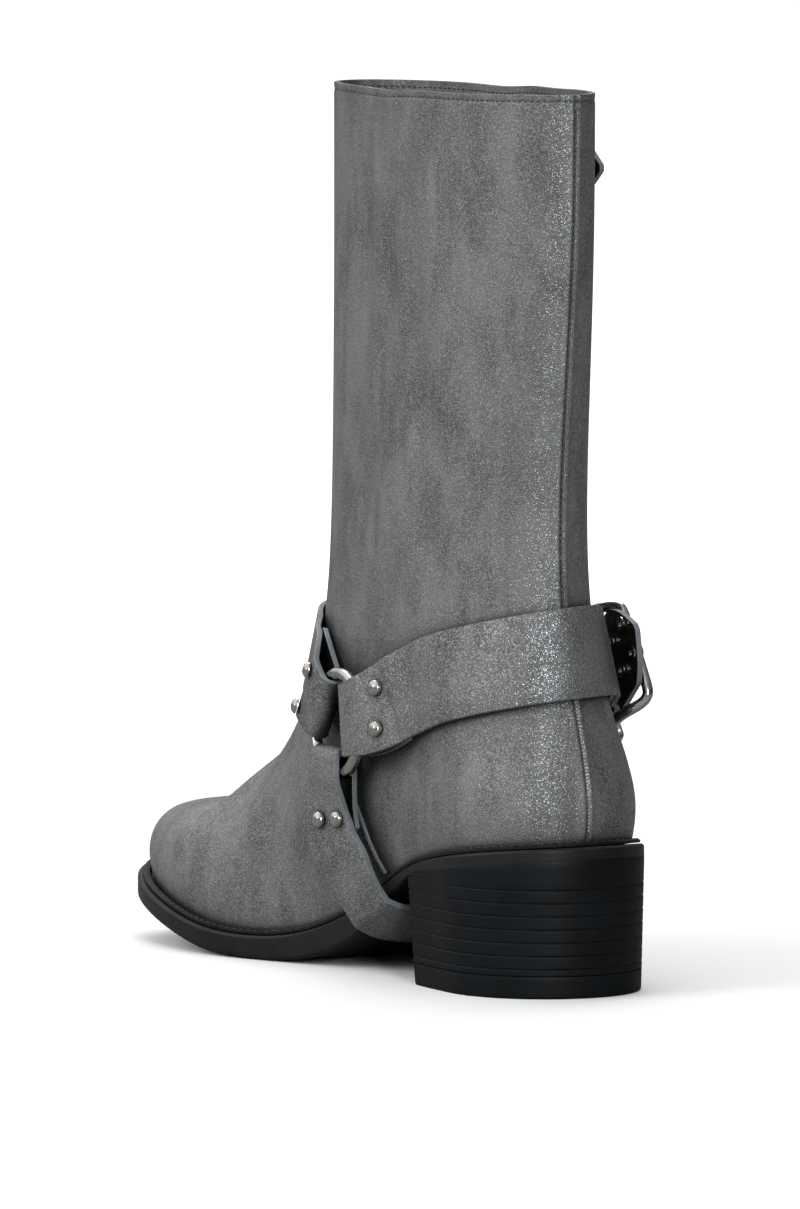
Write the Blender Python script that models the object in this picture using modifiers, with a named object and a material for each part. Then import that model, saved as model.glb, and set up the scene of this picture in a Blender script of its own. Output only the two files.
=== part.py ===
"""Harness boot: a right-foot, mid-calf pull-on boot on a stacked block heel.

Sizes are in millimetres and become metres when a mesh is made. X runs from the inner side of the
foot to the outer side, Y from heel to toe and Z up. The origin is on the floor under the heel.
"""
import math

import bmesh
import bpy
import numpy as np
from mathutils import Vector
from mathutils.bvhtree import BVHTree

MM = 0.001
MERGE = 0.00001
GAP = 0.3

# Driving sizes of the boot. The heights in the tables are counted from a level just above the floor;
# the finished boot is lifted at the end, so that it stands on the floor at zero.
FLOOR = -1.3
SOLE_BACK = -33.4
SOLE_TIP = 231.0
HEEL_BREAST = 37.5
HEEL_TAPER = 1.0
HEEL_HIGH = 42.0
BREAST_SLANT = 5.0
BREAST_HOLLOW = 3.0
TOP_LIFT = 6.0
FIRST_GROOVE = 8.3
STACK_LAYER = 4.33
GROOVES = 7
GROOVE_HALF = 0.4
GROOVE_DEPTH = 0.3
WELT_RISE = 1.8
FEATHER_GAP = 0.55
INSOLE_THICKNESS = 3.0
INSOLE_CLEAR = 0.8
EDGE_EASE = 1.0
HEEL_EDGE_EASE = 0.15
EASE_RUN = 8.0
TOP_EASE = 0.8
LIFT_EASE = 0.6
WELT_CLEAR = 0.6
WELT_SLOPE = 0.5
WALL = 2.0
SEAM_RISE = 0.8

# Harness: straps of one thickness that lie just off the upper and fold round two rings. The top
# layer of a folded strap starts at a step of its path, and its ramp has a few stations.
STRAP = 1.9
TOP_STEP = 11
RAMP_STATIONS = 4
FRONT_HALF = 14.4
HEEL_HALF = 15.0
ARCH_FREE_HALF = 11.4
BUCKLE_STRAP_HALF = 14.8
# Distances from a ring's centre where a strap lies flat in the ring's seat
RING_STATIONS = (6.0, 14.0, 22.0)
RING_SEAT = 21.0
# Folds round a ring or the buckle's bar: level run of the top layer, its ramp and the tucked layer
FOLDS = {
    "front": (8.8, 12.0, 24.0),
    "arch": (7.6, 19.0, 30.0),
    "heel": (10.4, 13.0, 26.0),
    "bar": (2.6, 5.0, 22.0),
    "buckle": (8.8, 7.0, 17.0),
}
STRAP_LIFT = 0.6
RING_RADIUS = 16.8
WIRE = 2.1
RING_Y = 74.0
RING_Z = 81.5
FOLD_HALF = 12.0
FRONT_FOLD_HALF = 11.0
ARCH_HALF = 9.0
ARCH_SHIFT = 2.4
RIVET_RADIUS = 2.8
RIVET_RISE = 2.0
# Outline of a rivet's dome from its top down and under: shares of its radius and of its height
RIVET_DOME = ((0.0, 1.0), (0.42, 0.94), (0.82, 0.66), (1.0, 0.25), (1.0, 0.0), (0.0, 0.0))
# Rivets of each fold: the distance from the fold along the top layer and the offset across
RIVETS = {
    "front": {"upper": (8.7, 6.6), "lower": (8.7, -8.2)},
    "arch": {"front": (21.2, 2.6), "rear": (22.7, -6.4)},
    "heel": {"upper": (20.6, 6.6), "lower": (16.8, -6.6)},
    "buckle": {"upper": (12.3, 6.6), "lower": (12.3, -6.6)},
}
HEEL_STRAP_TURN = 168.0
FRONT_STRAP_TURN = 29.0
ARCH_STRAP_TURN = 270.0
BACK_AXIS = 45.0
FRONT_AXIS = 60.0

# Strap heights round the ankle. Turn is in degrees from straight back, positive to the inner side.
HEEL_WRAP = {
    "turn": (74.0, 62.0, 48.0, 34.0, 22.0, 10.0, 0.0, -10.0, -22.0, -34.0, -46.0, -58.0, -72.0),
    "z": (94.0, 97.0, 100.4, 103.4, 106.2, 108.8, 110.2, 110.3, 109.3, 106.6, 102.4, 97.4, 91.8),
}
FRONT_WRAP = {
    "turn": (152.0, 161.0, 170.0, 180.0, 190.0, 199.0, 208.0),
    "z": (98.2, 101.4, 103.6, 104.4, 103.6, 101.4, 98.2),
}
# The buckled strap on the outer side runs up to the buckle. Past it, its end stands straight off.
OUTER_WRAP = {
    "turn": (-84.0, -74.0, -64.0),
    "z": (89.2, 92.2, 95.4),
}
FREE_END = (-0.10, -0.79, 0.605)
COLLAR_WRAP = {
    "turn": (-104.0, -92.0, -80.0, -68.0, -56.0, -46.0, -38.0, -31.0),
    "z": (267.0, 267.0, 267.0, 267.0, 267.0, 267.0, 267.0, 267.0),
}
# The arch strap hangs free from the rings and passes under the waist. In degrees, pitch is how far
# its front edge dips and yaw how far that edge turns to the inner side.
ARCH_WRAP = {
    "x": (-33.6, -33.4, -32.4, -28.6, -17.0, 0.0, 18.6, 35.0, 39.2, 39.6, 38.6),
    "y": (75.5, 69.0, 62.8, 58.8, 56.6, 56.0, 56.6, 58.8, 62.8, 69.0, 75.5),
    "z": (48.6, 38.0, 28.0, 20.0, 17.4, 17.2, 17.4, 20.0, 28.0, 38.0, 48.6),
    "pitch": (3.0, 9.0, 18.0, 27.0, 32.0, 33.0, 32.0, 27.0, 18.0, 9.0, 3.0),
    "yaw": (8.0, 4.0, 2.0, 1.0, 0.0, 0.0, 0.0, -1.0, -2.0, -4.0, -8.0),
}

# Buckle on the outer side, where the heel strap's end folds round the frame's middle bar
BUCKLE_TURN = -55.0
BUCKLE_LONG = 16.0
BUCKLE_HALF = 18.9
BUCKLE_BOW = 4
BUCKLE_RIM = 13.2
BUCKLE_LOW = 4.4
BUCKLE_CORNER = 5.5
BAR = 1.5
FRAME_WIRE = 1.9
PRONG = 0.9
TIP_REACH = 28.0
# Half width of the strap's free end by the distance left to its tip
TIP_END = {
    "left": (0.0, 3.0, 7.0, 12.0),
    "half": (1.2, 6.0, 11.4, 14.8),
}
EYELET_RADIUS = 2.9
EYELET_HOLE = 1.4
EYELET_ROW = 5.6
EYELET_PLACES = (10.7, 21.2)
EYELET_FLANGE = 0.5
COLLAR_STRAP_HALF = 8.2
COLLAR_FREE = 22.0
COLLAR_LIFT = 4.2

# Seam that laps the vamp over the back of the upper: its share along each loop from the feather
# line up, and how far it stands out. It runs out under the straps.
VAMP_SEAM = {
    "level": (0.0, 1.0, 2.0, 3.0, 4.0, 5.0, 6.0, 7.0, 8.0, 9.0, 17.0),
    "share": (0.327, 0.345, 0.362, 0.382, 0.405, 0.440, 0.480, 0.505, 0.515, 0.520, 0.520),
    "rise": (0.0, 0.8, 0.9, 0.9, 0.9, 0.9, 0.9, 0.6, 0.3, 0.0, 0.0),
}
LAP_WIDTH = 1.3
SEAM_HALF = 1.2
SEAM_FOOT = 2.4

# Finishes: base colour, roughness and metallic value
FINISHES = {
    "grey_leather": ((0.15, 0.15, 0.148), 0.55, 0.0),
    "strap_leather": ((0.13, 0.13, 0.13), 0.55, 0.0),
    "black_rubber": ((0.012, 0.013, 0.015), 0.45, 0.0),
    "black_welt": ((0.014, 0.015, 0.017), 0.5, 0.0),
    "insole_sock": ((0.05, 0.05, 0.052), 0.8, 0.0),
    "nickel": ((0.62, 0.6, 0.57), 0.18, 1.0),
}
FINISH_OF = {
    "upper": "grey_leather",
    "insole": "insole_sock",
    "welt": "black_welt",
    "outsole": "black_rubber",
    "heel_stack": "black_rubber",
    "heel_top_lift": "black_rubber",
    "front_strap": "strap_leather",
    "arch_strap": "strap_leather",
    "heel_strap": "strap_leather",
    "buckle_strap": "strap_leather",
    "collar_strap": "strap_leather",
}
SHARP_ANGLE = 40.0

# How many points the outlines and the upper are made of
HALF_COUNT = 27
BACK_COLUMNS = 12
FRONT_COLUMNS = 17
HEEL_POINTS = 21
RING_SEGMENTS = 30
WIRE_SIDES = 6
RIVET_SIDES = 10
EYELET_SIDES = 8
BAR_SIDES = 10
PRONG_SIDES = 8
BREAST_POINTS = 4
SMOOTH = 15

# Height of the sole's top and underside at stations from heel to toe
SOLE_PROFILE = {
    "y": (-34, -12, 10, 37.5, 51, 65, 81, 95, 104, 118, 140, 150, 165, 182, 203, 219, 231),
    "top": (48.6, 46.3, 43.2, 37.8, 32.2, 25.4, 18.0, 12.7, 9.8, 7.0, 6.4, 7.7, 10.6, 14.2, 18.6, 21.9, 24.4),
    "under": (44.4, 41.6, 38.8, 35.4, 26.2, 16.6, 8.2, 3.0, 0.6, -1.3, -1.3, 0.2, 3.7, 7.4, 11.8, 15.1, 17.6),
}

# Width of the ledge that the sole shows round the upper, along its length from back (0) to tip (1)
LEDGE = {
    "share": (0.0, 0.12, 0.30, 0.45, 0.62, 0.80, 1.0),
    "width": (5.0, 3.8, 3.0, 2.6, 4.2, 5.0, 5.6),
}

# Sections of the upper from the feather line (first row) to the collar (last row). Each is a tilted
# loop from a point on the back seam to a point on the front ridge. Half widths are given at the
# heel, waist and ball of the loop for the inner and outer side of the foot. The caps are the shares
# of the loop's length that round off its back and front, toe_in moves the tip to the inner side and
# sag is how much the loop follows the curve of the sole.
UPPER_COLUMNS = ("back_y", "back_z", "front_y", "front_z", "heel_in", "heel_out", "waist_in", "waist_out",
                 "ball_in", "ball_out", "back_cap", "front_cap", "toe_in", "sag")
UPPER_ROWS = (
    (-28.4, 48.3, 225.4, 23.7, 30.5, 30.5, 24.5, 31.5, 39.0, 39.5, 0.125, 0.33, -5.0, 1.00),
    (-28.8, 54.0, 226.8, 30.2, 32.0, 32.2, 25.5, 32.5, 39.6, 41.0, 0.130, 0.33, -5.0, 0.98),
    (-28.8, 60.0, 226.0, 36.8, 32.8, 33.2, 26.5, 33.0, 39.0, 40.5, 0.135, 0.34, -5.0, 0.92),
    (-28.2, 66.0, 221.0, 43.2, 32.6, 33.0, 27.5, 33.0, 36.8, 38.0, 0.140, 0.35, -4.8, 0.82),
    (-27.0, 72.0, 211.0, 47.8, 32.0, 32.2, 28.5, 32.8, 34.5, 35.0, 0.150, 0.37, -4.4, 0.70),
    (-25.4, 78.0, 197.0, 51.2, 31.2, 31.4, 29.0, 32.4, 32.0, 32.5, 0.165, 0.39, -3.6, 0.57),
    (-23.6, 84.0, 182.0, 54.7, 30.4, 30.6, 29.4, 32.0, 30.0, 30.5, 0.190, 0.41, -2.8, 0.44),
    (-21.6, 90.0, 166.5, 61.8, 29.8, 30.0, 29.6, 31.6, 28.5, 29.0, 0.220, 0.43, -1.8, 0.32),
    (-19.5, 97.0, 153.0, 71.0, 29.4, 29.4, 29.8, 31.0, 27.6, 28.0, 0.260, 0.44, -0.8, 0.21),
    (-17.3, 105.0, 141.8, 83.0, 29.0, 29.0, 30.0, 30.6, 27.2, 27.4, 0.310, 0.45, 0.0, 0.12),
    (-15.0, 114.0, 133.0, 97.5, 28.8, 28.8, 30.0, 30.2, 27.0, 27.2, 0.360, 0.46, 0.0, 0.06),
    (-13.0, 124.0, 127.0, 113.5, 28.6, 28.6, 30.0, 30.0, 27.0, 27.0, 0.410, 0.47, 0.0, 0.02),
    (-11.8, 136.0, 123.6, 130.0, 28.6, 28.6, 30.0, 30.0, 27.2, 27.2, 0.440, 0.48, 0.0, 0.00),
    (-11.4, 150.0, 121.8, 148.0, 28.6, 28.6, 30.0, 30.0, 27.4, 27.4, 0.460, 0.48, 0.0, 0.00),
    (-12.4, 172.0, 121.2, 172.0, 28.2, 28.2, 29.5, 29.5, 27.2, 27.2, 0.470, 0.48, 0.0, 0.00),
    (-15.8, 205.0, 121.8, 205.0, 27.2, 27.2, 28.5, 28.5, 26.4, 26.4, 0.470, 0.48, 0.0, 0.00),
    (-19.8, 245.0, 123.0, 244.5, 25.6, 25.6, 27.0, 27.0, 25.2, 25.2, 0.470, 0.48, 0.0, 0.00),
    (-20.8, 293.0, 123.6, 292.0, 25.0, 25.0, 26.5, 26.5, 24.8, 24.8, 0.470, 0.48, 0.0, 0.00),
)
WIDTH_STATIONS = (0.13, 0.42, 0.72)
TOE_FULLNESS = 2.2


def through(stations, values, wanted):
    """Values at the wanted stations of a smooth curve through a short table."""
    stations = np.asarray(stations, float)
    values = np.asarray(values, float)
    wanted = np.clip(np.asarray(wanted, float), stations[0], stations[-1])
    steps = np.diff(stations)
    slopes = np.diff(values) / steps
    tangents = np.concatenate(([slopes[0]], np.zeros(len(values) - 2), [slopes[-1]]))
    for i in range(1, len(values) - 1):
        if slopes[i - 1] * slopes[i] > 0:
            first = 2 * steps[i] + steps[i - 1]
            second = steps[i] + 2 * steps[i - 1]
            tangents[i] = (first + second) / (first / slopes[i - 1] + second / slopes[i])
    cell = np.clip(np.searchsorted(stations, wanted, side="right") - 1, 0, len(steps) - 1)
    t = (wanted - stations[cell]) / steps[cell]
    keep = (1 + 2 * t) * (1 - t) ** 2 * values[cell] + t ** 2 * (3 - 2 * t) * values[cell + 1]
    lean = t * (1 - t) ** 2 * tangents[cell] - t ** 2 * (1 - t) * tangents[cell + 1]
    return keep + steps[cell] * lean


def sole_top(y):
    return through(SOLE_PROFILE["y"], SOLE_PROFILE["top"], y)


def sole_under(y):
    return through(SOLE_PROFILE["y"], SOLE_PROFILE["under"], y)


def section(level):
    """Named sizes of the upper's section at a level, which may lie between two rows."""
    rows = np.asarray(UPPER_ROWS)
    places = np.arange(len(rows))
    return {name: float(through(places, rows[:, i], level)) for i, name in enumerate(UPPER_COLUMNS)}


def loop_shares(count):
    """Angles round a loop, from the back over the inner side to the front and home."""
    return np.linspace(0.0, 2.0 * math.pi, 2 * count, endpoint=False)


def upper_loop(level, angles):
    """Points of the upper's outside at a level: one for each angle round the loop."""
    size = section(level)
    share = (1.0 - np.cos(angles)) / 2.0
    inner = np.sin(angles) >= 0.0
    columns_in = (size["heel_in"], size["waist_in"], size["ball_in"])
    columns_out = (size["heel_out"], size["waist_out"], size["ball_out"])
    width = np.where(inner, through(WIDTH_STATIONS, columns_in, share),
                     through(WIDTH_STATIONS, columns_out, share))
    back = np.clip(1.0 - share / size["back_cap"], 0.0, 1.0)
    front = np.clip((share - 1.0 + size["front_cap"]) / size["front_cap"], 0.0, 1.0)
    width = width * np.sqrt(1.0 - back ** 2) * np.sqrt(1.0 - front ** TOE_FULLNESS)
    lean = np.clip((share - 0.55) / 0.45, 0.0, 1.0)
    x = np.where(inner, -width, width) + size["toe_in"] * lean ** 2 * (3.0 - 2.0 * lean)
    y = size["back_y"] + share * (size["front_y"] - size["back_y"])
    base = section(0)
    chord = base["back_z"] + (y - base["back_y"]) / (base["front_y"] - base["back_y"]) \
        * (base["front_z"] - base["back_z"])
    z = size["back_z"] + share * (size["front_z"] - size["back_z"])
    z = z + size["sag"] * (sole_top(y) + FEATHER_GAP - chord)
    loop = np.column_stack((x, y, z))
    return widened(loop, seam_rise(level, share, x, size))


def vamp_share(level):
    """Where the vamp's seam crosses the loop at a level."""
    return float(np.interp(level, VAMP_SEAM["level"], VAMP_SEAM["share"]))


def seam_rise(level, share, x, size):
    """How far the wall stands out for the seams: the back ridge and the lapped vamp."""
    ridge = np.clip((SEAM_FOOT - np.abs(x)) / (SEAM_FOOT - SEAM_HALF), 0.0, 1.0) * (share < 0.1)
    long = size["front_y"] - size["back_y"]
    lap = np.clip((share - vamp_share(level)) * long / LAP_WIDTH, 0.0, 1.0)
    ridge_rise = SEAM_RISE * min(1.0, level)
    return ridge * ridge_rise + lap * float(np.interp(level, VAMP_SEAM["level"], VAMP_SEAM["rise"]))


def upper_angles(level):
    """Angles of the upper's points at a level, with columns along the seams."""
    size = section(level)
    long = size["front_y"] - size["back_y"]
    heel = (size["heel_in"] + size["heel_out"]) / 2.0
    columns = [0.0]
    for x in (SEAM_HALF, SEAM_FOOT):
        columns.append(math.acos(1.0 - (x / heel) ** 2 * size["back_cap"]))
    seam = math.acos(1.0 - 2.0 * vamp_share(level))
    lapped = math.acos(1.0 - 2.0 * (vamp_share(level) + LAP_WIDTH / long))
    first = np.linspace(columns[-1], seam, BACK_COLUMNS)[1:]
    second = np.linspace(lapped, math.pi, FRONT_COLUMNS)
    half = np.concatenate((columns, first, second))
    return np.concatenate((half, 2.0 * math.pi - half[-2:0:-1]))


def widened(loop, distance):
    """A closed loop moved outward in plan by a distance, which may differ from point to point."""
    ahead = np.roll(loop[:, :2], -1, axis=0) - np.roll(loop[:, :2], 1, axis=0)
    normal = np.column_stack((-ahead[:, 1], ahead[:, 0]))
    normal = normal / np.linalg.norm(normal, axis=1)[:, None]
    area = np.sum(loop[:, 0] * np.roll(loop[:, 1], -1) - loop[:, 1] * np.roll(loop[:, 0], -1))
    if area > 0:
        normal = -normal
    moved = loop.copy()
    moved[:, :2] += normal * np.broadcast_to(distance, len(loop))[:, None]
    return moved


def at_heights(loop, heights):
    """A copy of a loop with new heights."""
    return np.column_stack((loop[:, 0], loop[:, 1], heights))


def clear_all():
    """Remove anything from an earlier run."""
    for item in list(bpy.data.objects):
        bpy.data.objects.remove(item, do_unlink=True)
    for item in list(bpy.data.collections):
        bpy.data.collections.remove(item)


def new_collection(name):
    collection = bpy.data.collections.new(name)
    bpy.context.scene.collection.children.link(collection)
    return collection


def add_mesh(collection, name, points, faces):
    """Object in the collection from points in millimetres and faces."""
    mesh = bpy.data.meshes.new(name)
    mesh.from_pydata([tuple(point * MM) for point in np.asarray(points, float)], [], faces)
    shaped = bmesh.new()
    shaped.from_mesh(mesh)
    bmesh.ops.recalc_face_normals(shaped, faces=shaped.faces)
    shaped.to_mesh(mesh)
    shaped.free()
    mesh.shade_smooth()
    mesh.set_sharp_from_angle(angle=math.radians(SHARP_ANGLE))
    item = bpy.data.objects.new(name, mesh)
    collection.objects.link(item)
    return item


def place(collection, item, name, centre, axis):
    """Name an object and put it in the collection, at a centre and with its own Z along an axis."""
    for other in list(item.users_collection):
        other.objects.unlink(item)
    collection.objects.link(item)
    item.name = name
    item.data.name = name
    item.location = Vector(centre) * MM
    item.rotation_mode = "QUATERNION"
    item.rotation_quaternion = Vector(axis).to_track_quat("Z", "Y")
    return item


def turned(collection, name, profile, centre, axis, sides, closed=False):
    """Turned solid: a profile of radii and heights, listed down its outer side, with a Screw modifier."""
    count = len(profile)
    mesh = bpy.data.meshes.new(name)
    edges = [(i, (i + 1) % count) for i in range(count if closed else count - 1)]
    mesh.from_pydata([(radius * MM, 0.0, height * MM) for radius, height in profile], edges, [])
    item = bpy.data.objects.new(name, mesh)
    screw = item.modifiers.new("turn", "SCREW")
    screw.steps = sides
    screw.render_steps = sides
    screw.use_merge_vertices = True
    screw.merge_threshold = MERGE
    return place(collection, item, name, centre, axis)


def rod(collection, name, start, end, radius, sides, end_radius=None):
    """Round rod between two points, which may taper."""
    start = np.asarray(start, float)
    end = np.asarray(end, float)
    mesh = bpy.data.meshes.new(name)
    shaped = bmesh.new()
    bmesh.ops.create_cone(shaped, cap_ends=True, segments=sides, radius1=radius * MM,
                          radius2=(end_radius or radius) * MM, depth=np.linalg.norm(end - start) * MM)
    shaped.to_mesh(mesh)
    shaped.free()
    item = bpy.data.objects.new(name, mesh)
    return place(collection, item, name, (start + end) / 2.0, end - start)


def side_faces(ring_count, size, closed=True):
    """Quads between rings of the same size that follow one another."""
    faces = []
    for ring in range(ring_count - 1):
        for i in range(size if closed else size - 1):
            j = (i + 1) % size
            faces.append((ring * size + i, ring * size + j, (ring + 1) * size + j, (ring + 1) * size + i))
    return faces


def cross_faces(start, size):
    """Faces that close a foot-shaped loop with bands from its inner to its outer side."""
    half = size // 2
    faces = [(start, start + 1, start + size - 1)]
    for i in range(1, half - 1):
        faces.append((start + i, start + i + 1, start + size - i - 1, start + size - i))
    faces.append((start + half - 1, start + half, start + half + 1))
    return faces


def foot_slab(collection, name, rings):
    """Solid of foot-shaped loops from the lowest to the highest."""
    size = len(rings[0])
    faces = side_faces(len(rings), size)
    faces += cross_faces(0, size)
    faces += cross_faces((len(rings) - 1) * size, size)
    return add_mesh(collection, name, np.vstack(rings), faces)


def feather_loop():
    return upper_loop(0.0, loop_shares(HALF_COUNT))


def sole_loop(extra=0.0):
    """Outline of the sole's edge: the feather line with the ledge round it."""
    loop = feather_loop()
    share = (loop[:, 1] - SOLE_BACK) / (SOLE_TIP - SOLE_BACK)
    return widened(loop, through(LEDGE["share"], LEDGE["width"], share) + extra)


def edge_ease():
    """How far the sole's lower edge is rounded off at each point: hardly at all over the heel."""
    return np.interp(feather_loop()[:, 1], (HEEL_BREAST, HEEL_BREAST + EASE_RUN), (HEEL_EDGE_EASE, EDGE_EASE))


def make_outsole(collection):
    edge = sole_loop()
    tucked = sole_loop(-edge_ease())
    ledge = sole_loop(-TOP_EASE)
    rings = [
        at_heights(tucked, sole_under(tucked[:, 1])),
        at_heights(edge, sole_under(edge[:, 1]) + edge_ease()),
        at_heights(edge, sole_top(edge[:, 1]) - TOP_EASE),
        at_heights(ledge, sole_top(ledge[:, 1])),
    ]
    return foot_slab(collection, "outsole", rings)


def make_insole(collection):
    outline = widened(feather_loop(), -(WALL + INSOLE_CLEAR))
    low = sole_top(outline[:, 1]) + GAP
    rings = [at_heights(outline, low), at_heights(outline, low + INSOLE_THICKNESS)]
    return foot_slab(collection, "insole", rings)


def make_upper(collection):
    """Hollow upper: one open sheet from the feather line to the collar, thickened inward."""
    rings = [upper_loop(level, upper_angles(level)) for level in range(len(UPPER_ROWS))]
    upper = add_mesh(collection, "upper", np.vstack(rings), side_faces(len(rings), len(rings[0])))
    wall = upper.modifiers.new("wall", "SOLIDIFY")
    wall.thickness = WALL * MM
    wall.offset = -1.0
    wall.use_even_offset = True
    return upper


def sole_at(angles, extra=0.0):
    """Points of the sole's edge in plan at any angles round the loop."""
    dense = loop_shares(240)
    loop = upper_loop(0.0, dense)
    share = (loop[:, 1] - SOLE_BACK) / (SOLE_TIP - SOLE_BACK)
    loop = widened(loop, through(LEDGE["share"], LEDGE["width"], share) + extra)
    x = np.interp(angles, dense, loop[:, 0], period=2.0 * math.pi)
    y = np.interp(angles, dense, loop[:, 1], period=2.0 * math.pi)
    return np.column_stack((x, y))


def heel_outline(height):
    """Outline of the heel in plan at a height: round back, straight sides and a hollow breast."""
    share = 1.0 - height / HEEL_HIGH
    dense = np.linspace(0.0, math.pi / 2.0, 200)
    breast = HEEL_BREAST - BREAST_SLANT * share
    corner = np.interp(breast, sole_at(dense)[:, 1], dense)
    back = sole_at(np.linspace(corner, -corner, HEEL_POINTS), -HEEL_TAPER * share)
    across = np.linspace(0.0, 1.0, BREAST_POINTS + 2)[1:-1]
    front = back[-1] + across[:, None] * (back[0] - back[-1])
    front[:, 1] -= BREAST_HOLLOW * np.sin(across * math.pi)
    return np.vstack((back, front))


def inset_plan(outline, distance):
    """A plan outline moved inward by a distance."""
    loop = np.column_stack((outline, np.zeros(len(outline))))
    return widened(loop, -distance)[:, :2]


def lift_to(outline, height):
    return np.column_stack((outline, np.broadcast_to(height, len(outline))))


def stack(collection, name, rings):
    """Solid of loops from the lowest to the highest, with flat ends."""
    size = len(rings[0])
    faces = side_faces(len(rings), size)
    faces.append(tuple(range(size)))
    faces.append(tuple(range((len(rings) - 1) * size, len(rings) * size)))
    return add_mesh(collection, name, np.vstack(rings), faces)


def under_facets(y):
    """Height of the sole's underside as it is faceted, which the heel's top has to fit."""
    half = sole_loop(-edge_ease())[:HALF_COUNT + 1]
    return np.interp(y, half[:, 1], sole_under(half[:, 1]))


def make_heel_stack(collection):
    """Heel block of layers: a groove between each two and a top that fits the sole."""
    base = TOP_LIFT + GAP
    rings = [lift_to(heel_outline(base), base)]
    for k in range(GROOVES):
        height = FIRST_GROOVE + k * STACK_LAYER
        outline = heel_outline(height)
        rings.append(lift_to(outline, height - GROOVE_HALF))
        rings.append(lift_to(inset_plan(outline, GROOVE_DEPTH), height))
        rings.append(lift_to(outline, height + GROOVE_HALF))
    top = heel_outline(HEEL_HIGH)
    rings.append(lift_to(top, under_facets(top[:, 1]) - 1.5 * GAP))
    return stack(collection, "heel_stack", rings)


def make_top_lift(collection):
    low = heel_outline(FLOOR)
    rings = [
        lift_to(inset_plan(low, LIFT_EASE), FLOOR),
        lift_to(low, FLOOR + LIFT_EASE),
        lift_to(heel_outline(TOP_LIFT), TOP_LIFT),
    ]
    return stack(collection, "heel_top_lift", rings)


def make_welt(collection):
    """Strip that lies on the sole's ledge all round the upper."""
    loop = feather_loop()
    share = (loop[:, 1] - SOLE_BACK) / (SOLE_TIP - SOLE_BACK)
    ledge = through(LEDGE["share"], LEDGE["width"], share)
    outer = widened(loop, 0.4 + 0.6 * ledge)
    inner_low = widened(loop, WELT_CLEAR)
    inner_high = widened(loop, 2.0 * WELT_CLEAR)
    rings = [
        at_heights(inner_low, sole_top(inner_low[:, 1]) + GAP),
        at_heights(outer, sole_top(outer[:, 1]) + GAP),
        at_heights(outer, sole_top(outer[:, 1]) + WELT_RISE - WELT_SLOPE),
        at_heights(inner_high, sole_top(inner_high[:, 1]) + WELT_RISE),
    ]
    size = len(loop)
    faces = side_faces(len(rings) + 1, size)
    count = len(rings) * size
    faces = [tuple(i % count for i in face) for face in faces]
    return add_mesh(collection, "welt", np.vstack(rings), faces)


def unit(vector):
    return vector / np.linalg.norm(vector)


def rounded(knots, values, wanted):
    """Values of a round curve through a table, without the flats that the other one keeps."""
    knots = np.asarray(knots, float)
    values = np.asarray(values, float)
    wanted = np.asarray(wanted, float)
    tangents = np.gradient(values, knots, axis=0)
    cell = np.clip(np.searchsorted(knots, wanted, side="right") - 1, 0, len(knots) - 2)
    step = (knots[cell + 1] - knots[cell])[:, None]
    t = ((wanted - knots[cell])[:, None]) / step
    first, second = values[cell], values[cell + 1]
    keep = (1 + 2 * t) * (1 - t) ** 2 * first + t ** 2 * (3 - 2 * t) * second
    lean = t * (1 - t) ** 2 * tangents[cell] - t ** 2 * (1 - t) * tangents[cell + 1]
    return keep + step * lean


def upper_tree():
    """Search tree of the upper's outside, to lay straps on."""
    angles = loop_shares(72)
    rings = [upper_loop(level, angles) for level in np.arange(0.0, len(UPPER_ROWS) - 0.9, 0.25)]
    points = [tuple(point) for point in np.vstack(rings)]
    return BVHTree.FromPolygons(points, side_faces(len(rings), len(angles)))


def hit(tree, origin, direction):
    """Point where a ray from inside the boot leaves the upper."""
    found = tree.ray_cast(Vector(origin), Vector(direction))[0]
    return np.array(found)


def wrap_stations(tree, table, axis, half):
    """Centres and width directions of a strap round the ankle, laid straight across on the upper."""
    centres = []
    across = []
    for turn, z in zip(table["turn"], table["z"]):
        angle = math.radians(turn)
        away = (-math.sin(angle), -math.cos(angle), 0.0)
        ends = [hit(tree, (0.0, axis, z + k * half), away) for k in (-0.95, -0.5, 0.0, 0.5, 0.95)]
        width = unit(ends[-1] - ends[0])
        outward = unit(np.array(away) - np.dot(away, width) * width)
        centre = (ends[0] + ends[-1]) / 2.0
        push = max(0.0, max(np.dot(end - centre, outward) for end in ends))
        centres.append(centre + push * outward)
        across.append(width)
    return np.array(centres), np.array(across)


def ring_frame(tree, side):
    """Flat seat for a ring on one side of the ankle: its centre, forward, up and outward."""
    samples = []
    spread = np.linspace(-RING_SEAT, RING_SEAT, 9)
    for dy in spread:
        for dz in spread:
            if math.hypot(dy, dz) <= RING_SEAT + GAP:
                point = hit(tree, (0.0, RING_Y + dy, RING_Z + dz), (side, 0.0, 0.0))
                samples.append((dy, dz, point[0] * side))
    samples = np.array(samples)
    design = np.column_stack((np.ones(len(samples)), samples[:, 0], samples[:, 1]))
    fit = np.linalg.lstsq(design, samples[:, 2], rcond=None)[0]
    high = fit[0] + np.max(samples[:, 2] - design @ fit)
    centre = np.array((side * high, RING_Y, RING_Z))
    forward = unit(np.array((side * fit[1], 1.0, 0.0)))
    up = np.array((side * fit[2], 0.0, 1.0))
    up = unit(up - np.dot(up, forward) * forward)
    outward = np.cross(forward, up)
    if outward[0] * side < 0:
        outward = -outward
    return {"centre": centre, "forward": forward, "up": up, "outward": outward}


def ring_leg(frame, turn, reaches, shift=0.0):
    """Stations of a strap where it leaves a ring: flat in the ring's seat."""
    angle = math.radians(turn)
    along = math.cos(angle) * frame["forward"] + math.sin(angle) * frame["up"]
    width = -math.sin(angle) * frame["forward"] + math.cos(angle) * frame["up"]
    centres = [frame["centre"] + reach * along + shift * width for reach in reaches]
    return np.array(centres), np.array([width] * len(reaches))


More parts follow.
